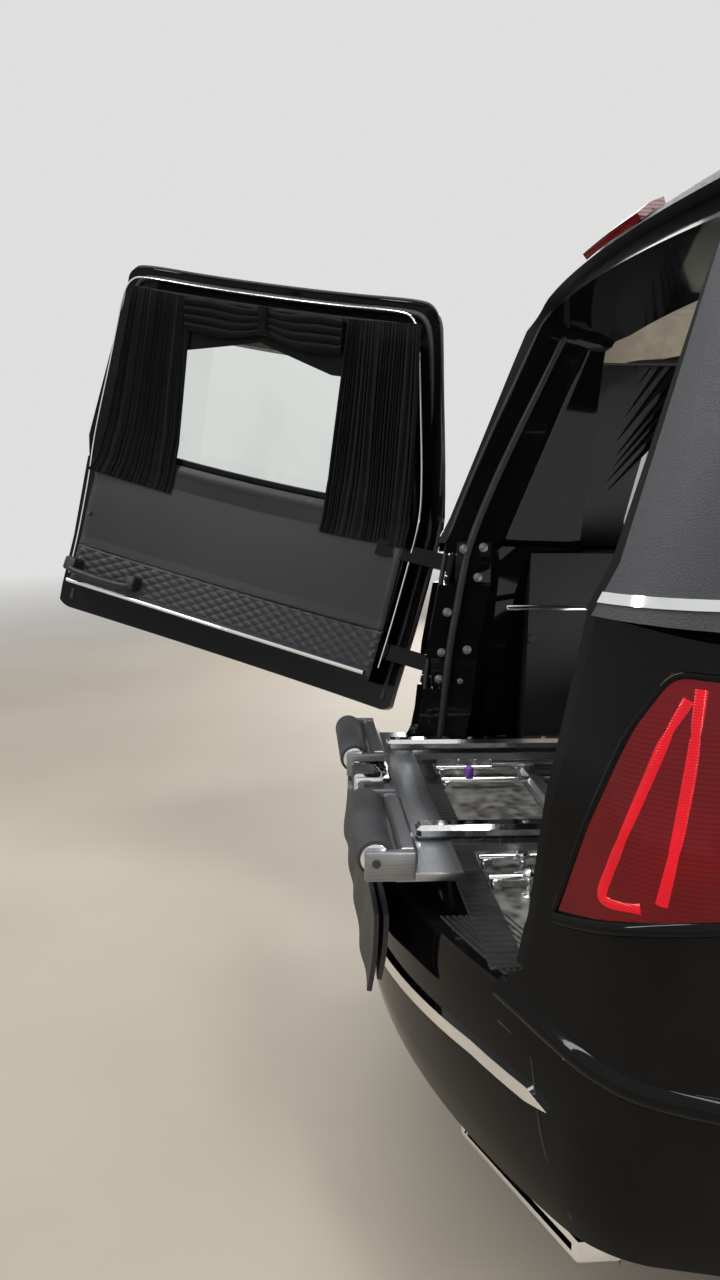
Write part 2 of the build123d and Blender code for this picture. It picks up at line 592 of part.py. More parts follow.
# Rear bumper with the ledge under the threshold
BUMPER_FOOT = 372.0
bumper = (low(0) - low(FRONT_WALL)) & bumper_space & box(-1200, 1200, TAIL - 100, 0, BUMPER_FOOT, BUMPER_TOP)
ledge = (rear(0) - rear(JAMB_WALL)) & box(-1200, 1200, TAIL - 100, TAIL + 400, BUMPER_TOP - 26, BUMPER_TOP)
keep("rear_bumper", less(bumper + ledge, arches))
keep("stop_lamp", box(-150, 150, TAIL + 440, TAIL + 530, 1796, 1826) - high(0))

# Floor: pan with sills, wheel houses and the raised part over the rear axle
PAN_TOP = 262.0
KINGPIN_X = 735.0
HOUSE_WALL = 12.0
HOUSE_INNER = 612.0
STEER_INNER = 470.0
AXLE_HOLE = 75.0
AXLE_ROOM = 330.0
TAIL_PAN_Z = 400.0
well_back = REAR_AXLE - AXLE_ROOM
pan_space = low(ROOF_WALL) & (box(-1200, 1200, well_back, 2300, SILL_Z, PAN_TOP)
                              + box(-1200, 1200, TAIL + 260, well_back, TAIL_PAN_Z, TAIL_PAN_Z + 27))
pan = less(pan_space, arches + [box(-790, 790, REAR_AXLE - AXLE_ROOM, REAR_AXLE + AXLE_ROOM, 0, 500),
                                box(-440.3, 440.3, 1459.7, 2020.3, 0, 500),
                                rod((-1100, FRONT_AXLE, TYRE_RADIUS), (-STEER_INNER, FRONT_AXLE, TYRE_RADIUS),
                                    ARCH_RADIUS),
                                rod((STEER_INNER, FRONT_AXLE, TYRE_RADIUS), (1100, FRONT_AXLE, TYRE_RADIUS),
                                    ARCH_RADIUS),
                                box(-700, 700, FRONT_AXLE - 60, FRONT_AXLE + 60, 0, 500)])
AXLE_PLATE_Z = 600.0
plate = box(-HOUSE_INNER, HOUSE_INNER, REAR_AXLE - AXLE_ROOM - 12, REAR_AXLE + AXLE_ROOM + 12,
            AXLE_PLATE_Z, AXLE_PLATE_Z + 12)
walls = [box(-HOUSE_INNER, HOUSE_INNER, y - 12, y, z, AXLE_PLATE_Z + 12)
         for y, z in ((well_back, TAIL_PAN_Z), (REAR_AXLE + AXLE_ROOM + 12, PAN_TOP - 5))]
firewall = (low(COWL_DROP + FRONT_WALL + SEAT_FIT) & box(-1200, 1200, *FIREWALL, PAN_TOP - 5, 1100))
houses = []
for side in (-1, 1):
    for y in (FRONT_AXLE, REAR_AXLE):
        start, room_start = (STEER_INNER, 0) if y > 0 else (HOUSE_INNER, HOUSE_INNER + HOUSE_WALL)
        outer = rod((side * start, y, TYRE_RADIUS), (side * 1100, y, TYRE_RADIUS), ARCH_RADIUS + HOUSE_WALL)
        room = rod((side * room_start, y, TYRE_RADIUS), (side * 1100, y, TYRE_RADIUS), ARCH_RADIUS)
        room = room + rod((side * 500, y, TYRE_RADIUS), (side * 1000, y, TYRE_RADIUS), AXLE_HOLE)
        houses.append((outer - room) & low(ROOF_WALL) & box(-1200, 1200, y - 500, y + 500, PAN_TOP - 5, 900))
side_room = box(-1200, 1200, REAR_SIDE_DOOR[1] - SHUT_GAP, FRONT_DOOR[0] + SHUT_GAP,
                SILL_Z, DOOR_FOOT - SHUT_GAP)
wall_low = (low(0) - low(ROOF_WALL)) & side_room
sills = both(box(730, 805, -1255, 880, PAN_TOP - 5, 400))
JACK_PAD_Z = 223.0
jack_pads = [pad for y in (-1000, 600)
             for pad in both(box(735, 795, y - 60, y + 60, JACK_PAD_Z, PAN_TOP - 2))]
keep("underbody", sum(houses + walls + sills + jack_pads, pan) + plate + wall_low + firewall)

# Load deck, rails and the sliding table with its rollers
DECK_FRONT = -562.3
deck = rear(JAMB_WALL) & box(-DECK_HALF, DECK_HALF, TAIL, TAIL + 619, DECK_Z - 32, DECK_Z)
deck = deck + box(-DECK_HALF, DECK_HALF, TAIL + 600, DECK_FRONT, DECK_Z - 32, DECK_Z)
PIN_BORE = 10.0
PIN_PLACES = [(side * 180, y) for side in (-1, 1) for y in (-2700, -2300)]
pin_bores = [rod((x, y, DECK_Z - 100), (x, y, DECK_Z + 50), PIN_BORE) for x, y in PIN_PLACES]
keep("load_deck", less(deck, pin_bores))
RAIL_X, RAIL_Z, RAIL_RADIUS = 260.0, 712.0, 13.0
rails = []
for side in (-1, 1):
    bar = rod((side * RAIL_X, TAIL + 320, RAIL_Z), (side * RAIL_X, -700, RAIL_Z), RAIL_RADIUS)
    feet = [box(side * RAIL_X - 8, side * RAIL_X + 8, y - 15, y + 15, DECK_Z, RAIL_Z)
            for y in range(-3060, -700, 460)]
    rails.append(sum(feet, bar))
keep("deck_rails", *rails)
table = box(-403, 403, TAIL + 34, TAIL + 137, 728, 740)
for x in (-403, -130, 118, 391):
    table = table + box(x, x + 12, TAIL - 16, TAIL + 60, 728, ROLLER_Z + 16)
runner_foot = RAIL_Z + RAIL_RADIUS + SEAT_FIT
runners = [box(side * RAIL_X - 24, side * RAIL_X + 24, TAIL + 100, TAIL + 700, runner_foot, 738)
           for side in (-1, 1)]
pin = rod((-420, TAIL, ROLLER_Z), (420, TAIL, ROLLER_Z), 7)
keep("casket_table", table + runners[0] + runners[1] - pin)
rollers = [rod((x, TAIL, ROLLER_Z), (x + 254, TAIL, ROLLER_Z), ROLLER_RADIUS) for x in (-388, 134)]
spindle = rod((-412, TAIL, ROLLER_Z), (412, TAIL, ROLLER_Z), 7 - SEAT_FIT)
keep("table_rollers", rollers[0] + rollers[1] + spindle)

# Cabin and load space trim
DASH_Y, DASH_BACK = FIREWALL[0] - SEAT_FIT, 500.0
PARTITION_Y = -540.0
cabin = (low(SIDE_WALL + 4) + high(ROOF_WALL + 2)) & box(-1200, 1200, -1000, 1100, 200, 2000)
dash = cabin & (box(-800, 800, DASH_BACK, DASH_Y, 690, 985) + box(-130, 130, 140, DASH_BACK, 560, 760))
partition_room = (low(SIDE_WALL + 4) + high(ROOF_WALL + 15)) - sills[0] - sills[1]
hatch = side_prism(((-600, 1120), (-500, 1120), (-500, 1480), (-600, 1480)), 0, -520, 520)
keep("partition", partition_room & box(-1000, 1000, PARTITION_Y - 22, PARTITION_Y, PAN_TOP, 1700) - hatch)
WINDOW_HALF = 640.0
lining = (high(ROOF_WALL) - high(ROOF_WALL + 14)) & box(-1200, 1200, TAIL + 480, 150, 1100, 2000)
jamb_room = (rear(0) - rear(JAMB_WALL)) & jamb_outer
keep("headliner", (lining - jamb_room) & box(-WINDOW_HALF, WINDOW_HALF, -5000, 5000, 1640, 2000))
load_side = box(600, 1200, TAIL + 480, REAR_SIDE_DOOR[1] - 20, DECK_Z, 1300)
lower_trim = less(low(ROOF_WALL) & load_side & box(0, 1200, -5000, 5000, 0, 1160), houses + [arches[3]])
upper_trim = lining & box(WINDOW_HALF + 2, 1200, -5000, REAR_SIDE_DOOR[1] - 20, 1100, 2000) - quarter_hole
keep("side_trims", *both(lower_trim - jamb_room), *both(upper_trim - jamb_room))
drape_wall = high(ROOF_WALL + 14 + SEAT_FIT) - high(ROOF_WALL + 38)
drape_spans = ((quarter_front + 20, -1760), (-2330, quarter_rear - 20))
drapes = [drape_wall & box(640, 1200, b, a, 1235, 1640) for a, b in drape_spans]
keep("side_drapes", *[piece for drape in drapes for piece in both(drape)])
SEAT_X = 365.0
seats = []
for side in (-1, 1):
    cushion = fillet(box(side * SEAT_X - 260, side * SEAT_X + 260, -330, 190, 420, 560).edges(), 45)
    back = Pos(side * SEAT_X, -330, 850) * Rot(14, 0, 0) * Box(500, 130, 620)
    back = fillet(back.edges(), 45)
    head = fillet((Pos(side * SEAT_X, -425, 1225) * Rot(14, 0, 0) * Box(250, 100, 150)).edges(), 35)
    post = rod((side * SEAT_X, -398, 1110), (side * SEAT_X, -415, 1190), 12)
    base = box(side * SEAT_X - 200, side * SEAT_X + 200, -280, 140, PAN_TOP, 440)
    seats.append(cushion + back + head + post + base)
keep("front_seats", *seats)
WHEEL_X = -SEAT_X
column_way = Vector(0, -cos(radians(24)), sin(radians(24)))
hub = Vector(WHEEL_X, 330, 905)
column_end = hub - column_way * 230
wheel_plane = Plane(origin=hub, z_dir=column_way)
ring = wheel_plane * Torus(185, 15)
spokes = wheel_plane * (Box(370, 34, 16) + Pos(0, -92, 0) * Box(34, 184, 16) + Cylinder(62, 40))
keep("steering_wheel", ring + spokes)
column = rod(tuple(column_end), tuple(hub - column_way * 20.3), 32)
keep("steering_column", column)
keep("dashboard", dash - column)

# Running gear
ENGINE_HALF = 290.0
keep("engine", box(-ENGINE_HALF, ENGINE_HALF, 1500, 2180, 330, 840))
keep("fuel_tank", box(-430, 430, -1340, -860, SILL_Z - 65, SILL_Z))
ARM_HALF = 20.0
frame_low = box(-440, 440, 1460, 2020, SILL_Z, 290) - box(-360, 360, 1540, 1940, 0, 500)
sub = frame_low
for side in (-1, 1):
    for z in (240, 475):
        reach = ENGINE_HALF + SEAT_FIT if z > 300 else 400
        sub = sub + box(side * reach, side * KINGPIN_X, FRONT_AXLE - 18, FRONT_AXLE + 18, z, z + 24)
        sub = sub + rod((side * KINGPIN_X, FRONT_AXLE, z), (side * KINGPIN_X, FRONT_AXLE, z + 24), 18)
    sub = sub + box(side * 400, side * 440, FRONT_AXLE - 40, FRONT_AXLE + 40, 240, 700)
keep("subframe", sub)
WHEEL_CENTRE = TRACK / 2
STUB_RADIUS = 28.0
for side, label in ((1, "right"), (-1, "left")):
    post = rod((side * KINGPIN_X, FRONT_AXLE, 264 + SEAT_FIT),
               (side * KINGPIN_X, FRONT_AXLE, 475 - SEAT_FIT), 18)
    carrier = rod((side * (KINGPIN_X - 30), FRONT_AXLE, TYRE_RADIUS),
                  (side * (KINGPIN_X + 26), FRONT_AXLE, TYRE_RADIUS), 52)
    stub = rod((side * KINGPIN_X, FRONT_AXLE, TYRE_RADIUS),
               (side * (WHEEL_CENTRE + 38), FRONT_AXLE, TYRE_RADIUS), STUB_RADIUS)
    keep(f"knuckle_{label}", post + carrier + stub)
beam = rod((-WHEEL_CENTRE + 75, REAR_AXLE, TYRE_RADIUS), (WHEEL_CENTRE - 75, REAR_AXLE, TYRE_RADIUS), 42)
beam = beam + rod((-WHEEL_CENTRE - 38, REAR_AXLE, TYRE_RADIUS),
                  (WHEEL_CENTRE + 38, REAR_AXLE, TYRE_RADIUS), STUB_RADIUS)
for side in (-1, 1):
    beam = beam + rod((side * 480, REAR_AXLE, TYRE_RADIUS), (side * 480, REAR_AXLE, AXLE_PLATE_Z), 58)
keep("rear_axle", beam)
exhaust = []
for side in (-1, 1):
    mouth = box(side * 448, side * 682, TAIL, TAIL + 290, 306, 334)
    tip = box(side * 440, side * 690, TAIL + 150, TAIL + 330, 298, 342) - mouth
    pipe = rod((side * 560, TAIL + 320, 320), (side * 560, -2560, 300), 28)
    exhaust.append(tip + pipe + box(side * 400, side * 600, -2700, -2350, 282, TAIL_PAN_Z - SEAT_FIT))
keep("exhaust", *exhaust)


def wheel_plane_at(x, y):
    """The plane of a wheel, its normal pointing outwards."""
    return Plane(origin=(x, y, TYRE_RADIUS), x_dir=(0, 1, 0), z_dir=(1 if x > 0 else -1, 0, 0))


half = TYRE_WIDTH / 2
tyre_points = ((RIM_RADIUS, -half + 18), (RIM_RADIUS + 20, -half), (TYRE_RADIUS - 26, -half + 2),
               (TYRE_RADIUS - 6, -half + 22), (TYRE_RADIUS, -half + 60), (TYRE_RADIUS, half - 60),
               (TYRE_RADIUS - 6, half - 22), (TYRE_RADIUS - 26, half - 2), (RIM_RADIUS + 20, half),
               (RIM_RADIUS, half - 18))
vectors = [Vector(r, 0, z) for r, z in tyre_points]
tyre_face = Face(Wire([Line(a, b).edge() for a, b in zip(vectors, vectors[1:] + vectors[:1])]))
tyre = revolve(tyre_face, Axis.Z)
barrel = Cylinder(RIM_RADIUS, 200) - Cylinder(RIM_RADIUS - 14, 200)
face = Pos(0, 0, 62) * Cylinder(RIM_RADIUS - 13, 16)
slots = [Rot(0, 0, i * 36) * (Pos(150, 0, 62) * Box(90, 46, 40)) for i in range(10)]
disc = Pos(0, 0, -20) * Cylinder(165, 22)
rim = less(barrel + face, slots) + disc + Pos(0, 0, 14) * Cylinder(70, 90)
rim = rim - Cylinder(STUB_RADIUS + SEAT_FIT, 76.6)
for label, x, y in (("front_right", WHEEL_CENTRE, FRONT_AXLE), ("front_left", -WHEEL_CENTRE, FRONT_AXLE),
                    ("rear_right", WHEEL_CENTRE, REAR_AXLE), ("rear_left", -WHEEL_CENTRE, REAR_AXLE)):
    keep(f"tyre_{label}", wheel_plane_at(x, y) * tyre)
    keep(f"rim_{label}", wheel_plane_at(x, y) * rim)
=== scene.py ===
"""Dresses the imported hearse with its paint, vinyl, chrome, leather, drapes and lamps, seen from its rear corner.

Metres, in the car's own frame: +Y is forward, +X is the car's right and +Z is up. The origin is on the ground,
on the centre plane, halfway between the axles.
"""
import bmesh
import bpy
import json
from math import cos, degrees, pi, radians, sin, tan
from mathutils import Matrix, Vector
from mathutils.noise import noise


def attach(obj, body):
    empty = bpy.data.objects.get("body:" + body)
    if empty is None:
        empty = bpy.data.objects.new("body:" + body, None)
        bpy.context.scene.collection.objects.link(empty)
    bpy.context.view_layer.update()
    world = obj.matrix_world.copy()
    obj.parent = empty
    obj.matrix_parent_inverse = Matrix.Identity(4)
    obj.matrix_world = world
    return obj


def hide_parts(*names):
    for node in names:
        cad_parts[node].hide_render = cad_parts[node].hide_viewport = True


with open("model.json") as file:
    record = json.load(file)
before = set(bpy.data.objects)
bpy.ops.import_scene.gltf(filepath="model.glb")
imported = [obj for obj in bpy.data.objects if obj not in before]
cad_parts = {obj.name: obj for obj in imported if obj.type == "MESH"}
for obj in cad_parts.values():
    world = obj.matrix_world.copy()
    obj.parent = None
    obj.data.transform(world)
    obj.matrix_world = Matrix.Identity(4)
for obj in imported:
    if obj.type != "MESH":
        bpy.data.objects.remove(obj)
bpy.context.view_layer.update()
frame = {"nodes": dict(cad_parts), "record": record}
nodes = frame["nodes"]
record = frame["record"]
body_of_node = {node: body for body, members in record["behaviour"]["bodies"].items() for node in members}
slot_of_node = {part["node"]: part.get("slot") for part in record.get("subparts", []) if "node" in part}

TAIL_Y = -3.454
WORLD_UP = Vector((0, 0, 1))


# Shader building

class Socket:
    """A shader value whose arithmetic adds Math nodes."""

    def __init__(self, finish, output):
        self.finish, self.output = finish, output

    def __add__(self, other):
        return self.finish.maths("ADD", self, other)

    def __sub__(self, other):
        return self.finish.maths("SUBTRACT", self, other)

    def __rsub__(self, other):
        return self.finish.maths("SUBTRACT", other, self)

    def __mul__(self, other):
        return self.finish.maths("MULTIPLY", self, other)

    __radd__ = __add__
    __rmul__ = __mul__


class Finish:
    """One finish of the car, as a material built from shader nodes."""

    def __init__(self, name):
        self.material = bpy.data.materials.new(name)
        self.material.use_nodes = True
        self.tree = self.material.node_tree
        self.tree.nodes.clear()
        self.place = Socket(self, self.tree.nodes.new("ShaderNodeTexCoord").outputs["Object"])

    def node(self, kind, settings=None, sockets=None, output=0):
        """Adds a node, its settings first and then the values or links of its sockets."""
        added = self.tree.nodes.new("ShaderNode" + kind)
        for name, value in (settings or {}).items():
            setattr(added, name, value)
        for name, value in (sockets or {}).items():
            if isinstance(value, Socket):
                self.tree.links.new(value.output, added.inputs[name])
            else:
                added.inputs[name].default_value = value
        return Socket(self, added.outputs[output])

    def maths(self, operation, first, second=0.0):
        return self.node("Math", {"operation": operation}, {0: first, 1: second})

    def spread(self, value, low, high, start=0.0, end=1.0):
        """Carries a value from low..high to start..end, held at both ends."""
        return self.node("MapRange", {"clamp": True}, {"Value": value, "From Min": low, "From Max": high,
                                                       "To Min": start, "To Max": end})

    def turned(self, scale=(1, 1, 1), turn=(0, 0, 0)):
        """The place on the piece, stretched and turned for a pattern."""
        return self.node("Mapping", None, {"Vector": self.place, "Scale": scale, "Rotation": turn})

    def cloud(self, scale, detail=3.0, vector=None):
        return self.node("TexNoise", None, {"Vector": vector or self.place, "Scale": scale, "Detail": detail})

    def cells(self, scale, vector=None, feature="F1"):
        return self.node("TexVoronoi", {"feature": feature}, {"Vector": vector or self.place, "Scale": scale})

    def axis(self, name, vector=None):
        """One of the place's coordinates, X, Y or Z."""
        return self.node("SeparateXYZ", None, {"Vector": vector or self.place}, "XYZ".index(name))

    def blend(self, share, first, second):
        """Mixes two colours."""
        return self.node("Mix", {"data_type": "RGBA"}, {0: share, 6: first, 7: second}, 2)

    def relief(self, height, strength, depth):
        return self.node("Bump", None, {"Height": height, "Strength": strength, "Distance": depth})

    def shade(self, **sockets):
        """Closes the material with one Principled shader; socket names are written with underscores."""
        named = {name.replace("_", " "): value for name, value in sockets.items()}
        shader = self.node("BsdfPrincipled", None, named)
        output = self.tree.nodes.new("ShaderNodeOutputMaterial")
        self.tree.links.new(shader.output, output.inputs["Surface"])
        return self.material


def rgb(red, green, blue):
    return (red, green, blue, 1.0)


def lacquer(name, colour, flake=0.0):
    """Deep gloss paint under a clear coat, with a trace of dust and orange peel."""
    f = Finish(name)
    dust = f.spread(f.cloud(3.2, 6.0), 0.45, 0.8)
    pale = tuple(c + 0.004 for c in colour[:3]) + (1.0,)
    peel = f.cloud(240.0, 2.0)
    return f.shade(Base_Color=f.blend(dust, colour, pale), Roughness=0.05 + 0.10 * dust, Coat_Weight=0.18,
                   Coat_Roughness=0.02, Metallic=flake, Specular_IOR_Level=0.07, Normal=f.relief(peel, 0.04, 0.0006))


def grained(name, colour, grain, roughness, depth=0.0008, sheen=0.0):
    """Vinyl or leather with a pebbled grain of a given number of cells in a metre."""
    f = Finish(name)
    pebbles = f.cells(grain)
    fine = f.cloud(grain * 2.3, 4.0)
    height = f.spread(pebbles, 0.0, 0.7) * 0.7 + fine * 0.5
    wear = f.spread(f.cloud(5.0, 5.0), 0.4, 0.75)
    light = tuple(min(1.0, c * 1.7 + 0.002) for c in colour[:3]) + (1.0,)
    return f.shade(Base_Color=f.blend(f.spread(height, 0.3, 1.0) * 0.55 + wear * 0.35, colour, light),
                   Roughness=roughness + 0.12 * wear - 0.08 * pebbles, Normal=f.relief(height, 0.55, depth),
                   Sheen_Weight=sheen, Specular_IOR_Level=0.42)


def plated(name, colour, roughness, smudge=0.08):
    """Polished or plated metal with faint smears."""
    f = Finish(name)
    smear = f.spread(f.cloud(9.0, 6.0), 0.42, 0.75)
    dull = tuple(c * 0.86 for c in colour[:3]) + (1.0,)
    return f.shade(Base_Color=f.blend(smear, colour, dull), Metallic=1.0, Roughness=roughness + smudge * smear,
                   Normal=f.relief(f.cloud(60.0, 2.0), 0.02, 0.0005))


def brushed(name, colour, roughness, along):
    """Metal brushed along one axis: fine streaks, some scuffs."""
    f = Finish(name)
    stretch = tuple(2.0 if axis == along else 420.0 for axis in "XYZ")
    streaks = f.cloud(1.0, 3.0, f.turned(stretch))
    scuffs = f.spread(f.cloud(14.0, 8.0), 0.5, 0.72)
    dark = tuple(c * 0.55 for c in colour[:3]) + (1.0,)
    tone = f.spread(streaks, 0.3, 0.7) * 0.6 + scuffs * 0.4
    return f.shade(Base_Color=f.blend(tone, colour, dark), Metallic=1.0, Roughness=roughness + 0.18 * tone,
                   Normal=f.relief(streaks, 0.18, 0.0004))


def mottled(name, light, dark):
    """Worn bare sheet metal with blotches and scratches."""
    f = Finish(name)
    blotch = f.spread(f.cells(46.0, feature="SMOOTH_F1") + 0.6 * f.cloud(30.0, 8.0), 0.35, 0.95)
    scratch = f.spread(f.cloud(1.0, 4.0, f.turned((30.0, 400.0, 1.0), (0, 0, 0.4))), 0.55, 0.7)
    return f.shade(Base_Color=f.blend(blotch, dark, light), Metallic=0.85, Roughness=0.30 + 0.25 * blotch,
                   Normal=f.relief(blotch + 0.3 * scratch, 0.25, 0.001))


def rubber(name, colour, roughness=0.72, ribs=None):
    """Matt rubber with a fine tooth, and moulded ribs across one axis where it has them."""
    f = Finish(name)
    tooth = f.cloud(900.0, 3.0)
    dust = f.spread(f.cloud(12.0, 5.0), 0.45, 0.75)
    height = tooth
    if ribs:
        axis, count = ribs
        height = 0.25 * tooth + f.maths("SINE", f.axis(axis) * (count * 2 * pi))
    grey = tuple(c * 1.8 + 0.012 for c in colour[:3]) + (1.0,)
    return f.shade(Base_Color=f.blend(dust, colour, grey), Roughness=roughness + 0.1 * dust,
                   Normal=f.relief(height, 0.4, 0.0009))


def woven(name, colour, threads, sheen, roughness=0.8):
    """Cloth of crossed threads, a given number to the metre."""
    f = Finish(name)
    across = f.maths("SINE", f.axis("X") * (threads * 2 * pi)) * f.maths("SINE", f.axis("Z") * (threads * 2 * pi))
    along = f.maths("SINE", f.axis("Y") * (threads * 2 * pi))
    fuzz = f.cloud(700.0, 3.0)
    slub = f.spread(f.cloud(22.0, 4.0), 0.4, 0.7)
    pale = tuple(min(1.0, c * 1.6 + 0.001) for c in colour[:3]) + (1.0,)
    return f.shade(Base_Color=f.blend(slub * 0.5 + 0.3 * fuzz, colour, pale), Roughness=roughness,
                   Sheen_Weight=sheen, Sheen_Roughness=0.4, Specular_IOR_Level=0.15,
                   Normal=f.relief(across + 0.4 * along + fuzz, 0.3, 0.0006))


def planked(name, colour):
    """Dark floor boards along the car: grooves between them and grain in each."""
    f = Finish(name)
    board = f.maths("FRACT", f.axis("X") * 14.0)
    groove = f.spread(board, 0.0, 0.07)
    grain = f.cloud(1.0, 6.0, f.turned((90.0, 5.0, 5.0)))
    light = tuple(c * 2.6 + 0.006 for c in colour[:3]) + (1.0,)
    return f.shade(Base_Color=f.blend(f.spread(grain, 0.3, 0.75), colour, light), Roughness=0.32 + 0.25 * grain,
                   Normal=f.relief(groove + 0.12 * grain, 0.7, 0.0022))


def tinted(name, colour, roughness=0.0):
    """Clear or tinted glass with a faint film."""
    f = Finish(name)
    film = f.spread(f.cloud(4.0, 5.0), 0.5, 0.8)
    dull = tuple(c * 0.93 for c in colour[:3]) + (1.0,)
    return f.shade(Base_Color=f.blend(film, colour, dull), Roughness=roughness + 0.01 * film, IOR=1.45,
                   Transmission_Weight=1.0)


def lens(name, colour, glow, strength, ribs):
    """A moulded lamp lens with fine ribs, faintly lit from behind."""
    f = Finish(name)
    rib = f.maths("SINE", f.axis("Z") * (ribs * 2 * pi))
    shade = f.spread(f.cloud(8.0, 3.0), 0.35, 0.7)
    dark = tuple(c * 0.45 for c in colour[:3]) + (1.0,)
    return f.shade(Base_Color=f.blend(shade, colour, dark), Roughness=0.12 + 0.1 * shade, Coat_Weight=0.25,
                   Coat_Roughness=0.02, Specular_IOR_Level=0.15, Emission_Color=glow, Emission_Strength=strength,
                   Normal=f.relief(rib, 0.25, 0.0008))


def moulded(name, colour, roughness=0.5):
    """Moulded plastic or painted underside with a light stipple."""
    f = Finish(name)
    stipple = f.cells(700.0)
    haze = f.spread(f.cloud(6.0, 5.0), 0.4, 0.75)
    pale = tuple(min(1.0, c * 1.4 + 0.008) for c in colour[:3]) + (1.0,)
    return f.shade(Base_Color=f.blend(haze, colour, pale), Roughness=roughness + 0.12 * haze,
                   Normal=f.relief(stipple, 0.25, 0.0004))


BLACK = rgb(0.0016, 0.0016, 0.0018)
paint = lacquer("gloss_black_paint", BLACK)
# The jamb's black is a lighter copy of the body's gloss black: painted light that lifts the shaded jamb, the rear
# door's shell and straps, the door pillars and the hinge plates.
lightened_jamb_paint = lacquer("jamb_black_paint_lightened", rgb(0.004, 0.004, 0.0046))
vinyl = grained("grained_roof_vinyl", rgb(0.017, 0.018, 0.021), 520.0, 0.50, 0.0011)
leather = grained("black_leather", rgb(0.0065, 0.0068, 0.0085), 900.0, 0.42, 0.0005)
chrome = plated("polished_chrome", rgb(0.86, 0.87, 0.88), 0.06)
aluminium = brushed("brushed_aluminium", rgb(0.42, 0.43, 0.45), 0.26, "X")
sheet_metal = mottled("worn_sheet_metal", rgb(0.36, 0.35, 0.32), rgb(0.13, 0.13, 0.125))
steel = brushed("dull_steel", rgb(0.32, 0.32, 0.33), 0.38, "Y")
roller_rubber = rubber("roller_rubber", rgb(0.017, 0.018, 0.020), 0.66)
seal_rubber = rubber("seal_rubber", rgb(0.006, 0.006, 0.0065), 0.55)
tread_rubber = rubber("tyre_rubber", rgb(0.010, 0.010, 0.011), 0.78)
scuff_rubber = rubber("ribbed_scuff_plate", rgb(0.006, 0.006, 0.007), 0.42, ("X", 60.0))
drape_cloth = woven("black_drape_cloth", rgb(0.0016, 0.0017, 0.0024), 900.0, 0.03, 0.80)
lining_cloth = woven("headliner_cloth", rgb(0.47, 0.41, 0.33), 700.0, 0.3, 0.9)
carpet = woven("dark_carpet", rgb(0.012, 0.012, 0.013), 420.0, 0.4, 0.95)
boards = planked("dark_floor_boards", rgb(0.010, 0.009, 0.009))
clear_glass = tinted("clear_glass", rgb(0.90, 0.95, 0.92))
privacy_glass = tinted("privacy_glass", rgb(0.42, 0.46, 0.44))
lamp_red = lens("red_lamp_lens", rgb(0.10, 0.001, 0.003), rgb(1.0, 0.006, 0.016), 0.045, 160.0)
lamp_glow = lens("red_light_guide", rgb(0.42, 0.004, 0.010), rgb(1.0, 0.006, 0.022), 0.38, 300.0)
knob_plastic = moulded("purple_knob_plastic", rgb(0.16, 0.05, 0.36), 0.35)
warm_lamp = lens("warm_ceiling_lamp", rgb(0.9, 0.85, 0.75), rgb(1.0, 0.80, 0.55), 1.6, 90.0)
lamp_clear = lens("clear_lamp_lens", rgb(0.42, 0.44, 0.46), rgb(1.0, 1.0, 1.0), 0.0, 120.0)
alloy = plated("polished_alloy", rgb(0.70, 0.71, 0.73), 0.16)
underseal = moulded("black_underseal", rgb(0.010, 0.010, 0.010), 0.75)
plastic = moulded("black_plastic", rgb(0.010, 0.010, 0.011), 0.48)
cast_iron = brushed("cast_metal", rgb(0.20, 0.20, 0.21), 0.5, "Y")


# Modelling helpers

def take(piece):
    """Makes a piece the only one selected."""
    bpy.ops.object.select_all(action="DESELECT")
    piece.select_set(True)
    bpy.context.view_layer.objects.active = piece
    return piece


def dressed(piece, finish, body, smooth=32.0, stands_for=()):
    """Settles a finished piece: its place goes into its mesh, then shading, finish and the body it rides on."""
    take(piece)
    bpy.ops.object.transform_apply(location=True, rotation=True, scale=True)
    bpy.ops.object.shade_smooth_by_angle(angle=radians(smooth))
    piece.data.materials.clear()
    piece.data.materials.append(finish)
    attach(piece, body)
    if stands_for:
        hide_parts(*stands_for)
    return piece


def skin_copy(node, name):
    """A merged copy of a node's mesh, as an object of its own."""
    piece = bpy.data.objects.new(name, nodes[node].data.copy())
    bpy.context.scene.collection.objects.link(piece)
    take(piece)
    if piece.data.has_custom_normals:
        bpy.ops.mesh.customdata_custom_splitnormals_clear()
    bpy.ops.object.mode_set(mode="EDIT")
    bpy.ops.mesh.select_all(action="SELECT")
    bpy.ops.mesh.remove_doubles(threshold=0.00002)
    bpy.ops.object.mode_set(mode="OBJECT")
    return piece


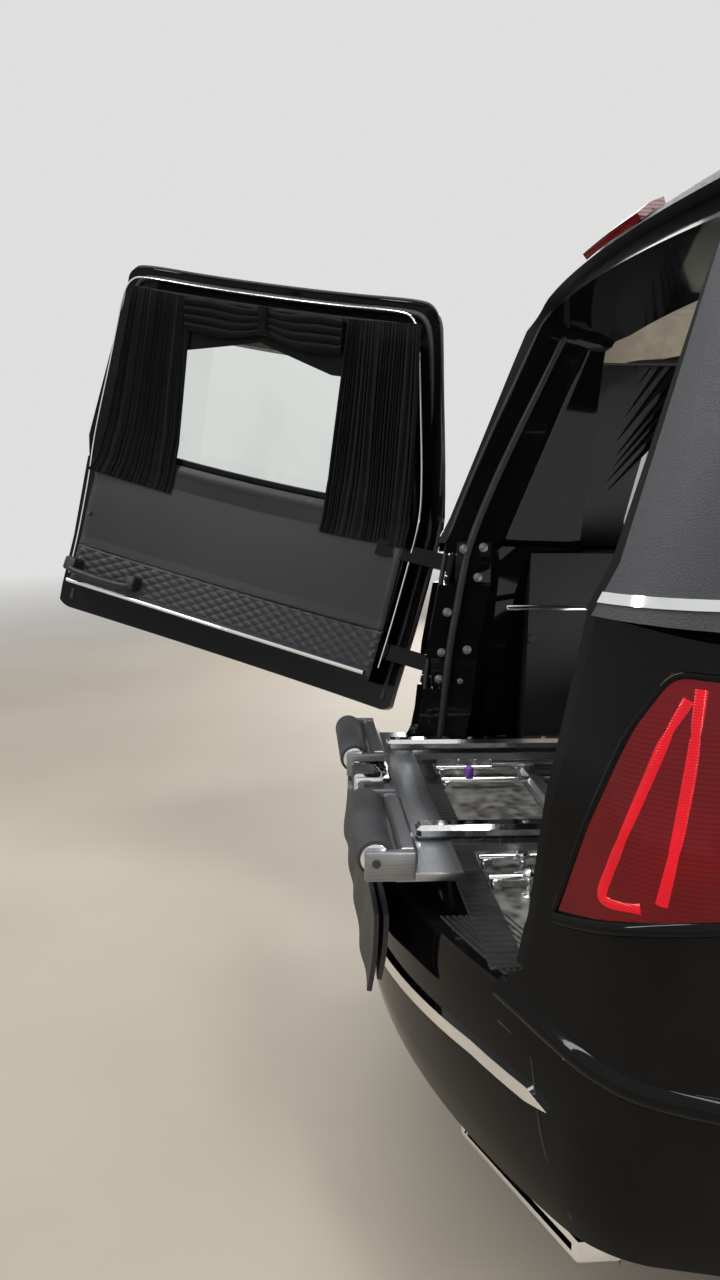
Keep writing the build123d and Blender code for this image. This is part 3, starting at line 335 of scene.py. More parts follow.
# Finish of each node; those with True are shown as a smooth-shaded merged copy
NODE_FINISHES = {
    "quarter_panels": (paint, True), "wings": (paint, True), "hood": (paint, True), "front_bumper": (paint, True),
    "rear_bumper": (paint, True), "front_door_left": (paint, True), "front_door_right": (paint, True),
    "rear_side_door_left": (paint, True), "rear_side_door_right": (paint, True), "roof": (vinyl, True),
    "rear_door": (lightened_jamb_paint, True), "rear_jamb": (lightened_jamb_paint, True), "rear_door_straps": (lightened_jamb_paint, False),
    "rear_door_glass": (clear_glass, True),
    "windscreen": (clear_glass, True), "quarter_glass": (privacy_glass, True),
    "front_door_glass_left": (clear_glass, True), "front_door_glass_right": (clear_glass, True),
    "rear_side_door_glass_left": (privacy_glass, True), "rear_side_door_glass_right": (privacy_glass, True),
    "tail_lamps": (lamp_red, True), "stop_lamp": (lamp_red, False), "headlamps": (lamp_clear, True),
    "grille": (chrome, False), "cowl": (plastic, False), "underbody": (underseal, False),
    "load_deck": (boards, False), "deck_rails": (chrome, False), "casket_table": (aluminium, False),
    "table_rollers": (roller_rubber, False), "partition": (leather, False), "headliner": (lining_cloth, True),
    "side_trims": (leather, True),
    "dashboard": (plastic, False), "steering_wheel": (leather, False), "steering_column": (plastic, False),
    "engine": (cast_iron, False), "fuel_tank": (plastic, False), "subframe": (steel, False),
    "knuckle_left": (cast_iron, False), "knuckle_right": (cast_iron, False), "rear_axle": (cast_iron, False),
    "exhaust": (steel, False), "door_pillars": (lightened_jamb_paint, False),
}
for corner in ("front_left", "front_right", "rear_left", "rear_right"):
    NODE_FINISHES["rim_" + corner] = (alloy, False)

skins = {}
for node, held in nodes.items():
    if node not in NODE_FINISHES:
        continue
    finish, smooth_copy = NODE_FINISHES[node]
    if smooth_copy:
        skins[node] = dressed(skin_copy(node, node + "_skin"), finish, body_of_node[node], 32.0, (node,))
    else:
        held.data.materials.clear()
        held.data.materials.append(finish)
# Shapes: helpers that start from a primitive and work on it in edit mode

def edited(piece, *steps):
    """Runs edit-mode steps on a whole piece."""
    take(piece)
    bpy.ops.object.mode_set(mode="EDIT")
    for step in steps:
        bpy.ops.mesh.select_all(action="SELECT")
        step()
    bpy.ops.object.mode_set(mode="OBJECT")
    return piece


def applied(piece, kind, **settings):
    """Adds one modifier to a piece and applies it."""
    take(piece)
    modifier = piece.modifiers.new("shape", kind)
    for name, value in settings.items():
        setattr(modifier, name, value)
    bpy.ops.object.modifier_apply(modifier=modifier.name)
    return piece


def block(name, low, high, ease=0.003, steps=2):
    """A block between two corners with eased edges."""
    centre = [(a + b) / 2 for a, b in zip(low, high)]
    size = [abs(b - a) for a, b in zip(low, high)]
    bpy.ops.mesh.primitive_cube_add(size=1, location=centre)
    piece = bpy.context.object
    piece.name, piece.scale = name, size
    take(piece)
    bpy.ops.object.transform_apply(location=True, rotation=True, scale=True)
    return edited(piece, lambda: bpy.ops.mesh.bevel(offset=ease, segments=steps, affect="EDGES"))


def tube(name, points, radius, closed=False, squash=1.0, sides=4):
    """A round bead along a smooth line; squash is not used."""
    line = bpy.data.curves.new(name, "CURVE")
    line.dimensions, line.bevel_depth, line.bevel_resolution, line.resolution_u = "3D", radius, sides // 2, 8
    line.use_fill_caps = not closed
    spline = line.splines.new("NURBS")
    spline.points.add(len(points) - 1)
    for point, place in zip(spline.points, points):
        point.co = (*place, 1.0)
    spline.order_u, spline.use_endpoint_u, spline.use_cyclic_u = 3, not closed, closed
    piece = bpy.data.objects.new(name, line)
    bpy.context.scene.collection.objects.link(piece)
    take(piece)
    bpy.ops.object.convert(target="MESH")
    return bpy.context.object


def surface(name, across, up, place):
    """A grid laid out by a function of its two shares, from 0 to 1."""
    bpy.ops.mesh.primitive_grid_add(x_subdivisions=across, y_subdivisions=up, size=1, location=(0, 0, 0))
    piece = bpy.context.object
    piece.name = name
    for vertex in piece.data.vertices:
        vertex.co = place(vertex.co.x + 0.5, vertex.co.y + 0.5)
    return piece


def trimmed(piece, *cuts):
    """Cuts a piece by planes, each a point and the way of the part that is thrown away."""
    steps = [lambda point=point, away=away: bpy.ops.mesh.bisect(plane_co=point, plane_no=away, clear_outer=True)
             for point, away in cuts]
    return edited(piece, *steps)


def kept_faces(piece, wanted):
    """Deletes the faces of a piece that wanted(centre, normal) refuses."""
    bpy.context.tool_settings.mesh_select_mode = (False, False, True)
    take(piece)
    bpy.ops.object.mode_set(mode="EDIT")
    bpy.ops.mesh.select_all(action="DESELECT")
    bpy.ops.object.mode_set(mode="OBJECT")
    for face in piece.data.polygons:
        face.select = not wanted(face.center, face.normal)
    bpy.ops.object.mode_set(mode="EDIT")
    bpy.ops.mesh.delete(type="FACE")
    bpy.ops.object.mode_set(mode="OBJECT")
    return piece


def skin_strip(name, node, cuts, wanted, rise):
    """A strip that lies on a node's skin: its copy trimmed by planes and raised by a thickness."""
    piece = kept_faces(trimmed(skin_copy(node, name), *cuts), wanted)
    return applied(piece, "SOLIDIFY", thickness=rise, offset=1.0)


def mirrored(piece, name):
    """The left-hand twin of a right-hand piece."""
    twin = bpy.data.objects.new(name, piece.data.copy())
    bpy.context.scene.collection.objects.link(twin)
    take(twin)
    twin.scale.x = -1
    bpy.ops.object.transform_apply(location=True, rotation=True, scale=True)
    return edited(twin, lambda: bpy.ops.mesh.normals_make_consistent(inside=False))


# The rear door's own frame: pieces are modelled on the closed door and then hung open

DOOR_HINGE = Vector((-0.695, TAIL_Y + 0.267, 1.0))
DOOR_AXIS = Vector((0, sin(radians(11.9)), cos(radians(11.9))))
OPEN = Matrix.Translation(DOOR_HINGE) @ Matrix.Rotation(radians(-120), 4, DOOR_AXIS) @ Matrix.Translation(-DOOR_HINGE)
# The tail's centre line: height, distance from the tail, sweep in plan
TAIL_LINE = ((0.60, 0.026, 1.35), (0.758, 0.038, 1.35), (0.928, 0.049, 1.35), (1.068, 0.071, 1.35),
             (1.148, 0.083, 1.35), (1.187, 0.100, 1.50), (1.630, 0.338, 2.40), (1.700, 0.377, 3.00),
             (1.753, 0.422, 3.60), (1.80, 0.470, 4.0))


def tail_place(x, z, depth):
    """A place under the closed tail's skin, by its distance from the centre plane and its height."""
    for low, high in zip(TAIL_LINE, TAIL_LINE[1:]):
        if z <= high[0]:
            share = (z - low[0]) / (high[0] - low[0])
            break
    tail, sweep = (a + (b - a) * share for a, b in zip(low[1:], high[1:]))
    return Vector((x, TAIL_Y + tail + depth + x * x / (2 * sweep), z))


def door_half(z, grow=0.0):
    """Half the rear door's width at a height."""
    if z < 1.245:
        return 0.611 + grow + 0.017 * (z - 0.665) / 0.58
    return 0.628 + grow - 0.217 * (z - 1.245)


def hung(piece):
    """Turns a piece modelled on the closed rear door to where the open door has it."""
    piece.matrix_world = OPEN @ piece.matrix_world
    return piece


def door_line(grow, depth, low_z, high_z, round_top=0.05):
    """Points along the rear door's outline, up one side, over the top and down the other."""
    heights = [low_z + (high_z - round_top - low_z) * i / 8 for i in range(9)]
    side = [tail_place(door_half(z, grow), z, depth) for z in heights]
    corner = [tail_place(door_half(high_z, grow) - round_top * 0.25, high_z - round_top * 0.25, depth)]
    top = [tail_place(x, high_z, depth) for x in (door_half(high_z, grow) - round_top, 0.2)]
    right_half = side + corner + top
    return right_half + [Vector((-p.x, p.y, p.z)) for p in reversed(right_half)]


# Rear door: leather panel with its quilted band, chrome strip, handle, curtains, swag and seals

SEAM_Z, STRIP_Z, PANEL_TOP, PANEL_HALF = 0.897, 0.780, 1.222, 0.550
QUILT_WIDTH, QUILT_HEIGHT = 0.048, 0.0135


def panel_place(u, v):
    """The padded panel's face: crowned, rolled over at its top and side edges, with seam and quilting."""
    x = PANEL_HALF * (1 - 2 * u)
    z = 0.768 + (PANEL_TOP - 0.768) * v
    edge = max(0.0, (abs(x) - PANEL_HALF + 0.022) / 0.022)
    rolled = max(0.0, (z - PANEL_TOP + 0.030) / 0.030)
    crown = 0.118 + 0.004 * sin(pi * v) - 0.011 * edge ** 2 - 0.013 * rolled ** 2
    if z > SEAM_Z:
        pull = noise(Vector((x * 2.3, z * 1.7, 4.0))) * 0.0022
        gather = 0.0035 * sin(z * 46 + x * 9) * max(0.0, (abs(x) - 0.40) / 0.15) * max(0.0, (z - 1.05) / 0.15)
        crown += pull + gather
    elif z > STRIP_Z + 0.012:
        diagonal = abs(sin(pi * (x / QUILT_WIDTH + z / QUILT_HEIGHT * 0.5)))
        other = abs(sin(pi * (x / QUILT_WIDTH - z / QUILT_HEIGHT * 0.5)))
        crown += 0.0034 * (diagonal * other) ** 0.40 - 0.0015
    crown -= 0.0045 * max(0.0, 1 - abs(z - SEAM_Z) / 0.004)
    return tail_place(x, z, crown)


panel = applied(surface("rear_door_panel", 300, 150, panel_place), "SOLIDIFY", thickness=0.010, offset=-1.0)
dressed(hung(panel), leather, "rear_door", 50.0, ("rear_door_trim",))

header = skin_copy("rear_door_trim", "rear_door_header")
header.matrix_world = OPEN.inverted()
take(header)
bpy.ops.object.transform_apply(location=True, rotation=True, scale=True)
trimmed(header, ((0, 0, 1.4), (0, 0, -1)))
dressed(hung(header), leather, "rear_door", 40.0, ("rear_door_trim",))

strip_points = [tail_place(x, STRIP_Z - 0.004, 0.124) for x in (0.548, 0.36, 0.18, 0.0, -0.18, -0.36, -0.535)]
strip = tube("rear_door_chrome_strip", strip_points, 0.0068, sides=8)
dressed(hung(strip), chrome, "rear_door", 40.0)

seam_points = [tail_place(x, SEAM_Z + 0.0035, 0.1185) for x in (0.545, 0.36, 0.18, 0.0, -0.18, -0.36, -0.545)]
dressed(hung(tube("rear_door_seam_piping", seam_points, 0.0016)), leather, "rear_door", 40.0)

handle_points = [tail_place(x, z, depth) for x, z, depth in (
    (0.536, 0.822, 0.140), (0.534, 0.816, 0.154), (0.520, 0.810, 0.160), (0.470, 0.806, 0.162), (0.410, 0.806, 0.162),
    (0.360, 0.808, 0.160), (0.343, 0.812, 0.154), (0.341, 0.818, 0.140))]
handle = tube("rear_door_grab_handle", handle_points, 0.0105, sides=10)
dressed(hung(handle), leather, "rear_door", 60.0)
for x, label in ((0.533, "outer"), (0.342, "inner")):
    foot = block(f"rear_door_handle_foot_{label}", tail_place(x - 0.021, 0.806, 0.112), tail_place(x + 0.021, 0.850, 0.152),
                 0.009, 3)
    dressed(hung(foot), leather, "rear_door", 50.0)

knob = tube("rear_door_lock_knob", [tail_place(0.531, 0.999, d) for d in (0.110, 0.118, 0.128, 0.130)], 0.007, sides=10)
dressed(hung(knob), plastic, "rear_door", 60.0)

DRAPE_FOLDS = 21
DRAPE_DEPTH = 0.117
HEM_LIFT = 0.26


def drape_place(side, inner_top, outer_top, inner_foot, outer_foot):
    """A gathered curtain on the closed door, hung from the header and slanting outwards to its foot."""
    def place(u, v):
        z = 1.130 + 0.535 * v
        share = 1 - u if side > 0 else u
        top, foot = (a + (b - a) * share for a, b in ((inner_top, outer_top), (inner_foot, outer_foot)))
        x = foot + (top - foot) * v ** 0.9
        wander = 0.030 * sin(share * 11 + side) + 0.012 * sin(share * 31 + 2.0) + 0.010 * sin(v * 4 + share * 9)
        phase = 2 * pi * DRAPE_FOLDS * (share + wander)
        swell = 0.85 + 0.35 * sin(pi * min(1.0, v * 1.1)) - 0.45 * max(0.0, (v - 0.90) / 0.10)
        fold = sin(phase) + 0.40 * sin(0.5 * phase + 0.8) + 0.20 * sin(2 * phase + 1.3 + v * 3)
        drift = 0.75 + 0.8 * abs(noise(Vector((share * 7, v * 1.6, side * 3.0))))
        lifted = 0.012 * min(1.0, max(0.0, (HEM_LIFT - v) / HEM_LIFT) ** 0.5)
        return tail_place(side * x, z, DRAPE_DEPTH + lifted + 0.0046 * fold * swell * drift)
    return place


def cloth(piece, finish, body, replaced=()):
    applied(piece, "SOLIDIFY", thickness=0.0016, offset=0.0)
    dressed(piece, finish, body, 60.0, replaced)
    return piece


for side, label in ((1, "right"), (-1, "left")):
    edges = (0.249, 0.447, 0.296, 0.560) if side > 0 else (0.272, 0.503, 0.244, 0.562)
    drape = surface(f"rear_door_curtain_{label}", 400, 40, drape_place(side, *edges))
    cloth(hung(drape), drape_cloth, "rear_door",
          ("rear_door_drapes",))


WINDOW_FOOT, WINDOW_HEAD, WINDOW_FOOT_HALF, WINDOW_HEAD_HALF = 1.242, 1.598, 0.428, 0.358


def gasket_place(u, v):
    """The black lining of the window's edge, all round the opening and from its glass to the trim."""
    corner, share = divmod(u * 4, 1.0)
    corners = ((-WINDOW_FOOT_HALF, WINDOW_FOOT), (WINDOW_FOOT_HALF, WINDOW_FOOT), (WINDOW_HEAD_HALF, WINDOW_HEAD),
               (-WINDOW_HEAD_HALF, WINDOW_HEAD))
    start, end = corners[int(corner) % 4], corners[(int(corner) + 1) % 4]
    return tail_place(start[0] + (end[0] - start[0]) * share, start[1] + (end[1] - start[1]) * share, 0.034 + 0.060 * v)


gasket = applied(surface("rear_door_window_gasket", 80, 4, gasket_place), "SOLIDIFY", thickness=0.003, offset=0.0)
dressed(hung(gasket), seal_rubber, "rear_door", 40.0)


def valance_place(u, v):
    """The flat inner valance behind the swag; its lower edge rises to the middle."""
    x = 0.30 * (1 - 2 * u)
    foot = 1.535 + 0.055 * (1 - min(1.0, abs(x - 0.02) / 0.25))
    return tail_place(x, foot + (1.662 - foot) * v, 0.102 + 0.002 * sin(9 * u))


cloth(hung(surface("rear_door_valance", 60, 12, valance_place)), drape_cloth, "rear_door")

SWAG_PLEATS = 4


def swag_place(side):
    def place(u, v):
        share = 1 - u if side > 0 else u
        x = 0.012 + 0.252 * share
        top = 1.664
        foot = 1.604 - 0.020 * share - 0.014 * sin(pi * share)
        z = foot + (top - foot) * v
        pleat = abs(sin(pi * SWAG_PLEATS * (v + 0.03 * sin(7 * share))))
        return tail_place(side * x, z, 0.112 + (0.008 + 0.010 * share) * pleat ** 0.6 + 0.003 * sin(pi * share))
    return place


for side, label in ((1, "right"), (-1, "left")):
    swag = surface(f"rear_door_swag_{label}", 70, 64, swag_place(side))
    cloth(hung(swag), drape_cloth, "rear_door", ("rear_door_drapes",))
tie = surface("rear_door_swag_tie", 30, 24, lambda u, v: tail_place(
    0.020 * (1 - 2 * u) * (1 - 0.35 * sin(pi * v)), 1.598 + 0.068 * v, 0.126 + 0.008 * sin(pi * u)
    + 0.0018 * sin(2 * pi * 4 * u)))
cloth(hung(tie), drape_cloth, "rear_door")

dressed(hung(tube("rear_door_frame_bead", door_line(-0.050, 0.096, 0.80, 1.700), 0.0028, sides=6)), chrome,
        "rear_door", 40.0)
dressed(hung(tube("rear_door_frame_seal", door_line(-0.034, 0.030, 0.72, 1.722), 0.0085, sides=8)), seal_rubber,
        "rear_door", 40.0)
dressed(hung(tube("rear_door_rim_seal", door_line(-0.006, 0.024, 0.72, 1.748), 0.0045, sides=6)), seal_rubber,
        "rear_door", 40.0)

# Jamb: two seals around the opening, the hinges' plates and their bolts

dressed(tube("jamb_inner_seal", door_line(-0.046, 0.100, 0.668, 1.722), 0.0095, sides=8), seal_rubber, "shell", 40.0)
dressed(tube("jamb_outer_seal", door_line(0.004, 0.034, 0.668, 1.760), 0.0065, sides=8), seal_rubber, "shell", 40.0)


def on_skin(node, start, way):
    """Where a straight line from start first meets a node's skin, and the skin's normal there."""
    met, place, normal, _ = skins[node].ray_cast(Vector(start), Vector(way))
    return (place, normal) if met else (None, None)


def laid(name, node, across, up, aim, rise, thickness):
    """A sheet laid on a node's skin: aim gives the line that finds the place of each pair of shares."""
    def place(u, v):
        start, way = aim(u, v)
        spot, normal = on_skin(node, start, way)
        return spot + normal * rise if spot else Vector(start)
    return applied(surface(name, across, up, place), "SOLIDIFY", thickness=thickness, offset=0.0)


def hollowed(name, low, high, wall, depth):
    """A rectangular mouth open to the rear: its rear face is inset and pushed in."""
    piece = block(name, low, high, 0.004, 2)
    bpy.context.tool_settings.mesh_select_mode = (False, False, True)
    for face in piece.data.polygons:
        face.select = face.normal.y < -0.99 and face.area > 0.2 * (high[0] - low[0]) * (high[2] - low[2])
    bpy.ops.object.mode_set(mode="EDIT")
    bpy.ops.mesh.inset(thickness=wall)
    bpy.ops.mesh.extrude_region_move(TRANSFORM_OT_translate={"value": (0, depth, 0)})
    bpy.ops.object.mode_set(mode="OBJECT")
    return piece


def turned_rod(name, start, end, radius, ease=0.002, sides=32):
    """A round bar with eased ends."""
    start, end = Vector(start), Vector(end)
    bpy.ops.mesh.primitive_cylinder_add(vertices=sides, radius=radius, depth=(end - start).length,
                                        location=(start + end) / 2)
    piece = bpy.context.object
    piece.name = name
    piece.rotation_mode = "QUATERNION"
    piece.rotation_quaternion = (end - start).to_track_quat("Z", "Y")
    take(piece)
    bpy.ops.object.transform_apply(location=True, rotation=True, scale=True)
    return applied(piece, "BEVEL", width=ease, segments=2, limit_method="ANGLE", angle_limit=radians(50))


def joined(name, pieces):
    """Joins pieces of one finish into one object."""
    bpy.ops.object.select_all(action="DESELECT")
    for piece in pieces:
        piece.select_set(True)
    bpy.context.view_layer.objects.active = pieces[0]
    bpy.ops.object.join()
    whole = bpy.context.object
    whole.name = name
    return whole


# Casket table: rollers' cradles, chrome end caps, bars and the latch between the rollers

ROLLER_Z, ROLLER_SPANS = 0.760, ((0.134, 0.388), (-0.388, -0.134))
for (inner, outer), label in zip(ROLLER_SPANS, ("right", "left")):
    cradle = block(f"roller_cradle_{label}", (inner - 0.002, TAIL_Y + 0.036, 0.741),
                   (outer + 0.002, TAIL_Y + 0.068, 0.775), 0.007, 1)
    dressed(cradle, aluminium, "casket_table")
    sleeve = turned_rod(f"roller_sleeve_{label}", (inner + 0.004, TAIL_Y, ROLLER_Z), (outer - 0.004, TAIL_Y, ROLLER_Z),
                        0.0302, 0.005, 48)
    dressed(sleeve, roller_rubber, "table_rollers", 50.0)
    for end, x in (("inner", inner), ("outer", outer)):
        cap = turned_rod(f"roller_cap_{label}_{end}", (x - 0.0025, TAIL_Y, ROLLER_Z), (x + 0.0025, TAIL_Y, ROLLER_Z),
                         0.024, 0.001)
        dressed(cap, chrome, "table_rollers")
cheeks = []
for x in (-0.4095, -0.1175, 0.1065, 0.3975):
    cheeks.append(block("cheek", (x, TAIL_Y - 0.018, 0.730), (x + 0.011, TAIL_Y + 0.062, 0.7775), 0.0035, 2))
dressed(joined("roller_end_plates", cheeks), steel, "casket_table")
table_tongue = block("table_plate_middle", (-0.128, TAIL_Y - 0.006, 0.7265), (0.112, TAIL_Y + 0.036, 0.7425), 0.003, 2)
dressed(table_tongue, aluminium, "casket_table")
plate = block("table_plate", (-0.405, TAIL_Y + 0.030, 0.7265), (0.405, TAIL_Y + 0.139, 0.7425), 0.003, 2)
dressed(plate, aluminium, "casket_table")
latch = block("table_latch", (-0.052, TAIL_Y - 0.012, 0.742), (0.060, TAIL_Y + 0.060, 0.782), 0.006, 2)
dressed(latch, chrome, "casket_table")
latch_mouth = block("table_latch_mouth", (-0.026, TAIL_Y - 0.0135, 0.750), (0.034, TAIL_Y + 0.03, 0.785), 0.006, 2)
dressed(latch_mouth, plastic, "casket_table")
latch_tongue = block("table_latch_tongue", (-0.014, TAIL_Y - 0.022, 0.7445), (0.022, TAIL_Y + 0.004, 0.7525), 0.003, 2)
dressed(latch_tongue, steel, "casket_table")
slide_bars, slide_feet = [], []
for side in (-1, 1):
    x = side * 0.260
    slide_bars.append(block("bar", (x - 0.019, TAIL_Y + 0.080, 0.743), (x + 0.019, TAIL_Y + 0.700, 0.768), 0.0075, 1))
    for y in (0.105, 0.27, 0.44, 0.62):
        slide_feet.append(turned_rod("screw", (x, TAIL_Y + y, 0.766), (x, TAIL_Y + y, 0.7695), 0.0055, 0.0008, 12))
dressed(joined("table_slide_bars", slide_bars), chrome, "casket_table", 25.0)
dressed(joined("table_bar_screws", slide_feet), steel, "casket_table")

# Deck behind the sill: black strip, mottled plate, cross bar, rods with ball-headed pins and a lock knob

deck_strip = block("deck_black_strip", (-0.560, TAIL_Y + 0.150, 0.6605), (0.560, TAIL_Y + 0.205, 0.6665), 0.002, 1)
dressed(deck_strip, scuff_rubber, "shell")
deck_plate = block("deck_metal_plate", (-0.545, TAIL_Y + 0.205, 0.6605), (0.545, TAIL_Y + 0.395, 0.6655), 0.0015, 1)
dressed(deck_plate, sheet_metal, "shell")
cross_bar = block("deck_cross_bar", (-0.560, TAIL_Y + 0.392, 0.6605), (0.560, TAIL_Y + 0.430, 0.690), 0.008, 1)
dressed(cross_bar, aluminium, "shell")
rod_pieces, pin_pieces = [], []
for x in (-0.300, -0.215, 0.215, 0.300):
    rod_pieces.append(turned_rod("guide", (x, TAIL_Y + 0.20, 0.684), (x, TAIL_Y + 0.86, 0.684), 0.0065))
    for y in (0.215, 0.52, 0.84):
        rod_pieces.append(block("clip", (x - 0.011, TAIL_Y + y - 0.009, 0.660), (x + 0.011, TAIL_Y + y + 0.009, 0.684),
                                0.002, 1))
for x, y in ((-0.345, 0.262), (-0.345, 0.302), (0.252, 0.270), (0.335, 0.262)):
    bpy.ops.mesh.primitive_uv_sphere_add(segments=24, ring_count=14, radius=0.0125,
                                         location=(x, TAIL_Y + y, 0.7055))
    ball = edited(bpy.context.object, lambda: bpy.ops.transform.resize(value=(1, 1, 0.82)))
    pin_pieces.append(ball)
    pin_pieces.append(turned_rod("stem", (x, TAIL_Y + y, 0.664), (x, TAIL_Y + y, 0.700), 0.0058, 0.001, 20))
    pin_pieces.append(turned_rod("collar", (x, TAIL_Y + y, 0.664), (x, TAIL_Y + y, 0.671), 0.014, 0.002, 24))
dressed(joined("deck_guide_rods", rod_pieces), chrome, "shell", 40.0)
dressed(joined("deck_ball_pins", pin_pieces), chrome, "shell", 60.0)
knob_foot = turned_rod("deck_lock_knob", (-0.215, TAIL_Y + 0.262, 0.688), (-0.215, TAIL_Y + 0.262, 0.714), 0.0095, 0.003, 24)
dressed(knob_foot, knob_plastic, "shell", 50.0)

# Sill ledge: ribbed scuff plate at each end, rubber flaps behind the table

LEDGE_Z = 0.6645


def ledge_place(side):
    """The scuff plate's ribbed face on the ledge beside the table."""
    def place(u, v):
        x = 0.395 + 0.203 * u
        rib = 0.0012 * (1 if sin(2 * pi * 11 * v) > 0 else -1)
        return Vector((side * x, TAIL_Y + 0.046 + x * x / 2.7 + 0.112 * v, LEDGE_Z + rib))
    return place


for side, label in ((1, "right"), (-1, "left")):
    scuff = applied(surface(f"scuff_plate_{label}", 24, 88, ledge_place(side)), "SOLIDIFY", thickness=0.003, offset=-1.0)
    dressed(scuff, scuff_rubber, "shell", 20.0)
for name, y, foot in (("outer", 0.004, 0.528), ("inner", 0.020, 0.548)):
    skirt = surface(f"sill_skirt_{name}", 120, 24, lambda u, v, y=y, foot=foot: Vector((
        0.378 - 0.756 * u, TAIL_Y + y - 0.010 * (1 - v) ** 2 + 0.0022 * sin(26 * u + 2 * v) * (1 - v),
        foot + 0.004 * sin(19 * u) + (0.660 - foot) * v)))
    dressed(applied(skirt, "SOLIDIFY", thickness=0.008, offset=0.0), seal_rubber, "shell", 60.0)
# Rear bumper: chrome strip that rises to a point at both ends, shut lines and the exhaust mouths


def strip_aim(u, v):
    x = 0.692 - 1.384 * u
    centre = 0.490 + 0.048 * min(1.0, abs(x) / 0.55) ** 1.2
    height = 0.021 * min(1.0, (0.694 - abs(x)) / 0.035)
    return (x, TAIL_Y - 0.6, centre + height * (v - 0.35)), (0, 1, 0)


dressed(laid("rear_bumper_chrome_strip", "rear_bumper", 160, 8, strip_aim, 0.0035, 0.007), chrome, "shell", 35.0)
for side, label in ((1, "right"), (-1, "left")):
    for name, line in (("upper", ((0.60, 0.610), (0.70, 0.598), (0.80, 0.560), (0.87, 0.520))),
                       ("lower", ((0.66, 0.595), (0.672, 0.53), (0.69, 0.46), (0.72, 0.40)))):
        points = []
        for x, z in line:
            spot, normal = on_skin("rear_bumper", (side * x, TAIL_Y - 0.6, z), (0, 1, 0))
            if spot:
                points.append(spot + normal * 0.0002)
        if len(points) > 2:
            dressed(tube(f"bumper_shut_line_{name}_{label}", points, 0.0016), seal_rubber, "shell")
    inner, outer = sorted((side * 0.430, side * 0.690))
    mouth = hollowed(f"exhaust_mouth_{label}", (inner, TAIL_Y + 0.140, 0.303), (outer, TAIL_Y + 0.260, 0.337), 0.007, 0.100)
    for vertex in mouth.data.vertices:
        vertex.co.y += 0.44 * (abs(vertex.co.x) - 0.430)
    dressed(mouth, chrome, "shell")
    roll = tube(f"bumper_roll_{label}", [on_skin("rear_bumper", (side * x, TAIL_Y - 0.6, z), (0, 1, 0))[0] + Vector((0, 0.010, 0))
                                         for x, z in ((0.585, 0.652), (0.63, 0.648), (0.68, 0.640), (0.73, 0.630),
                                                      (0.78, 0.618), (0.83, 0.604), (0.87, 0.592))], 0.019, sides=14)
    dressed(roll, paint, "shell", 60.0)
pipes = trimmed(skin_copy("exhaust", "exhaust_pipes"), ((0, TAIL_Y + 0.315, 0), (0, -1, 0)))
dressed(pipes, steel, "shell", 40.0, ("exhaust",))

# Tail lamps: bright light guides, gloss surround and the ledge below

# Places on the right lamp as (x, z), seen from behind
GUIDES = {"left_guide": (0.0125, ((0.742, 1.100), (0.741, 1.060), (0.738, 1.010), (0.733, 0.960), (0.727, 0.915),
                                  (0.720, 0.880), (0.714, 0.852), (0.718, 0.842), (0.735, 0.842), (0.755, 0.848))),
          "right_guide": (0.0135, ((0.768, 0.858), (0.769, 0.900), (0.768, 0.940), (0.764, 0.985), (0.760, 1.030),
                                   (0.754, 1.070), (0.744, 1.112)))}
LENS_FOOT, LENS_HEAD = (0.655, 0.801), (0.725, 1.128)
SURROUND = ([(0.655 + 0.070 * i / 9, 0.801 + 0.327 * i / 9) for i in range(10)]
            + [(0.730 + 0.085 * i / 6, 1.1275 - 0.002 * i) for i in range(1, 7)])
LEDGE = [(0.657 + 0.150 * i / 8, 0.790 + 0.004 * i + 0.0004 * i * i) for i in range(9)]


def on_tail(points, side, rise):
    """Carries (x, z) places of the right lamp, seen from behind, onto the skin of their own side."""
    places = []
    for x, z in points:
        reach = x if side > 0 else 0.800 - (0.800 - x) * 0.55
        for node in ("tail_lamps", "quarter_panels"):
            spot, normal = on_skin(node, (side * reach, TAIL_Y - 0.6, z), (0, 1, 0))
            if spot:
                places.append(spot + normal * rise)
                break
    return places


for side, label in ((1, "right"), (-1, "left")):
    for name, (radius, points) in GUIDES.items():
        guide = tube(f"tail_lamp_{name}_{label}", on_tail(points, side, 0.0022 - radius), radius, sides=12)
        dressed(guide, lamp_glow, "shell", 60.0)
    dressed(tube(f"tail_lamp_surround_{label}", on_tail(SURROUND, side, -0.001), 0.0052, sides=6), paint, "shell", 60.0)
    dressed(tube(f"tail_lamp_ledge_{label}", on_tail(LEDGE, side, -0.002), 0.0100, sides=8), paint, "shell", 60.0)

# Belt: a chrome strip where the vinyl roof meets the painted body, from the rear opening to the quarter windows

BELT_LOW, BELT_HIGH, BELT_RISE, BELT_REACH = 1.1915, 1.2045, tan(radians(1.67)), 1.3


def outward(centre, normal):
    """True for the outer side of the body's skin."""
    side = 1 if centre.x > 0 else -1
    behind = centre.y < TAIL_Y + 0.60 and normal.y < -0.30
    return abs(normal.z) < 0.80 and (normal.x * side > 0.45 and abs(centre.x) > 0.5 or behind)


belt_way = Vector((0, -BELT_RISE, 1)).normalized()
belt = skin_strip("roof_belt_chrome", "roof", (((0, TAIL_Y, BELT_LOW), -belt_way), ((0, TAIL_Y, BELT_HIGH), belt_way),
                                               ((0, TAIL_Y + BELT_REACH, 0), (0, 1, 0))), outward, 0.0025)
dressed(belt, chrome, "shell", 30.0)

# Hinge plates on the left jamb with their bolts

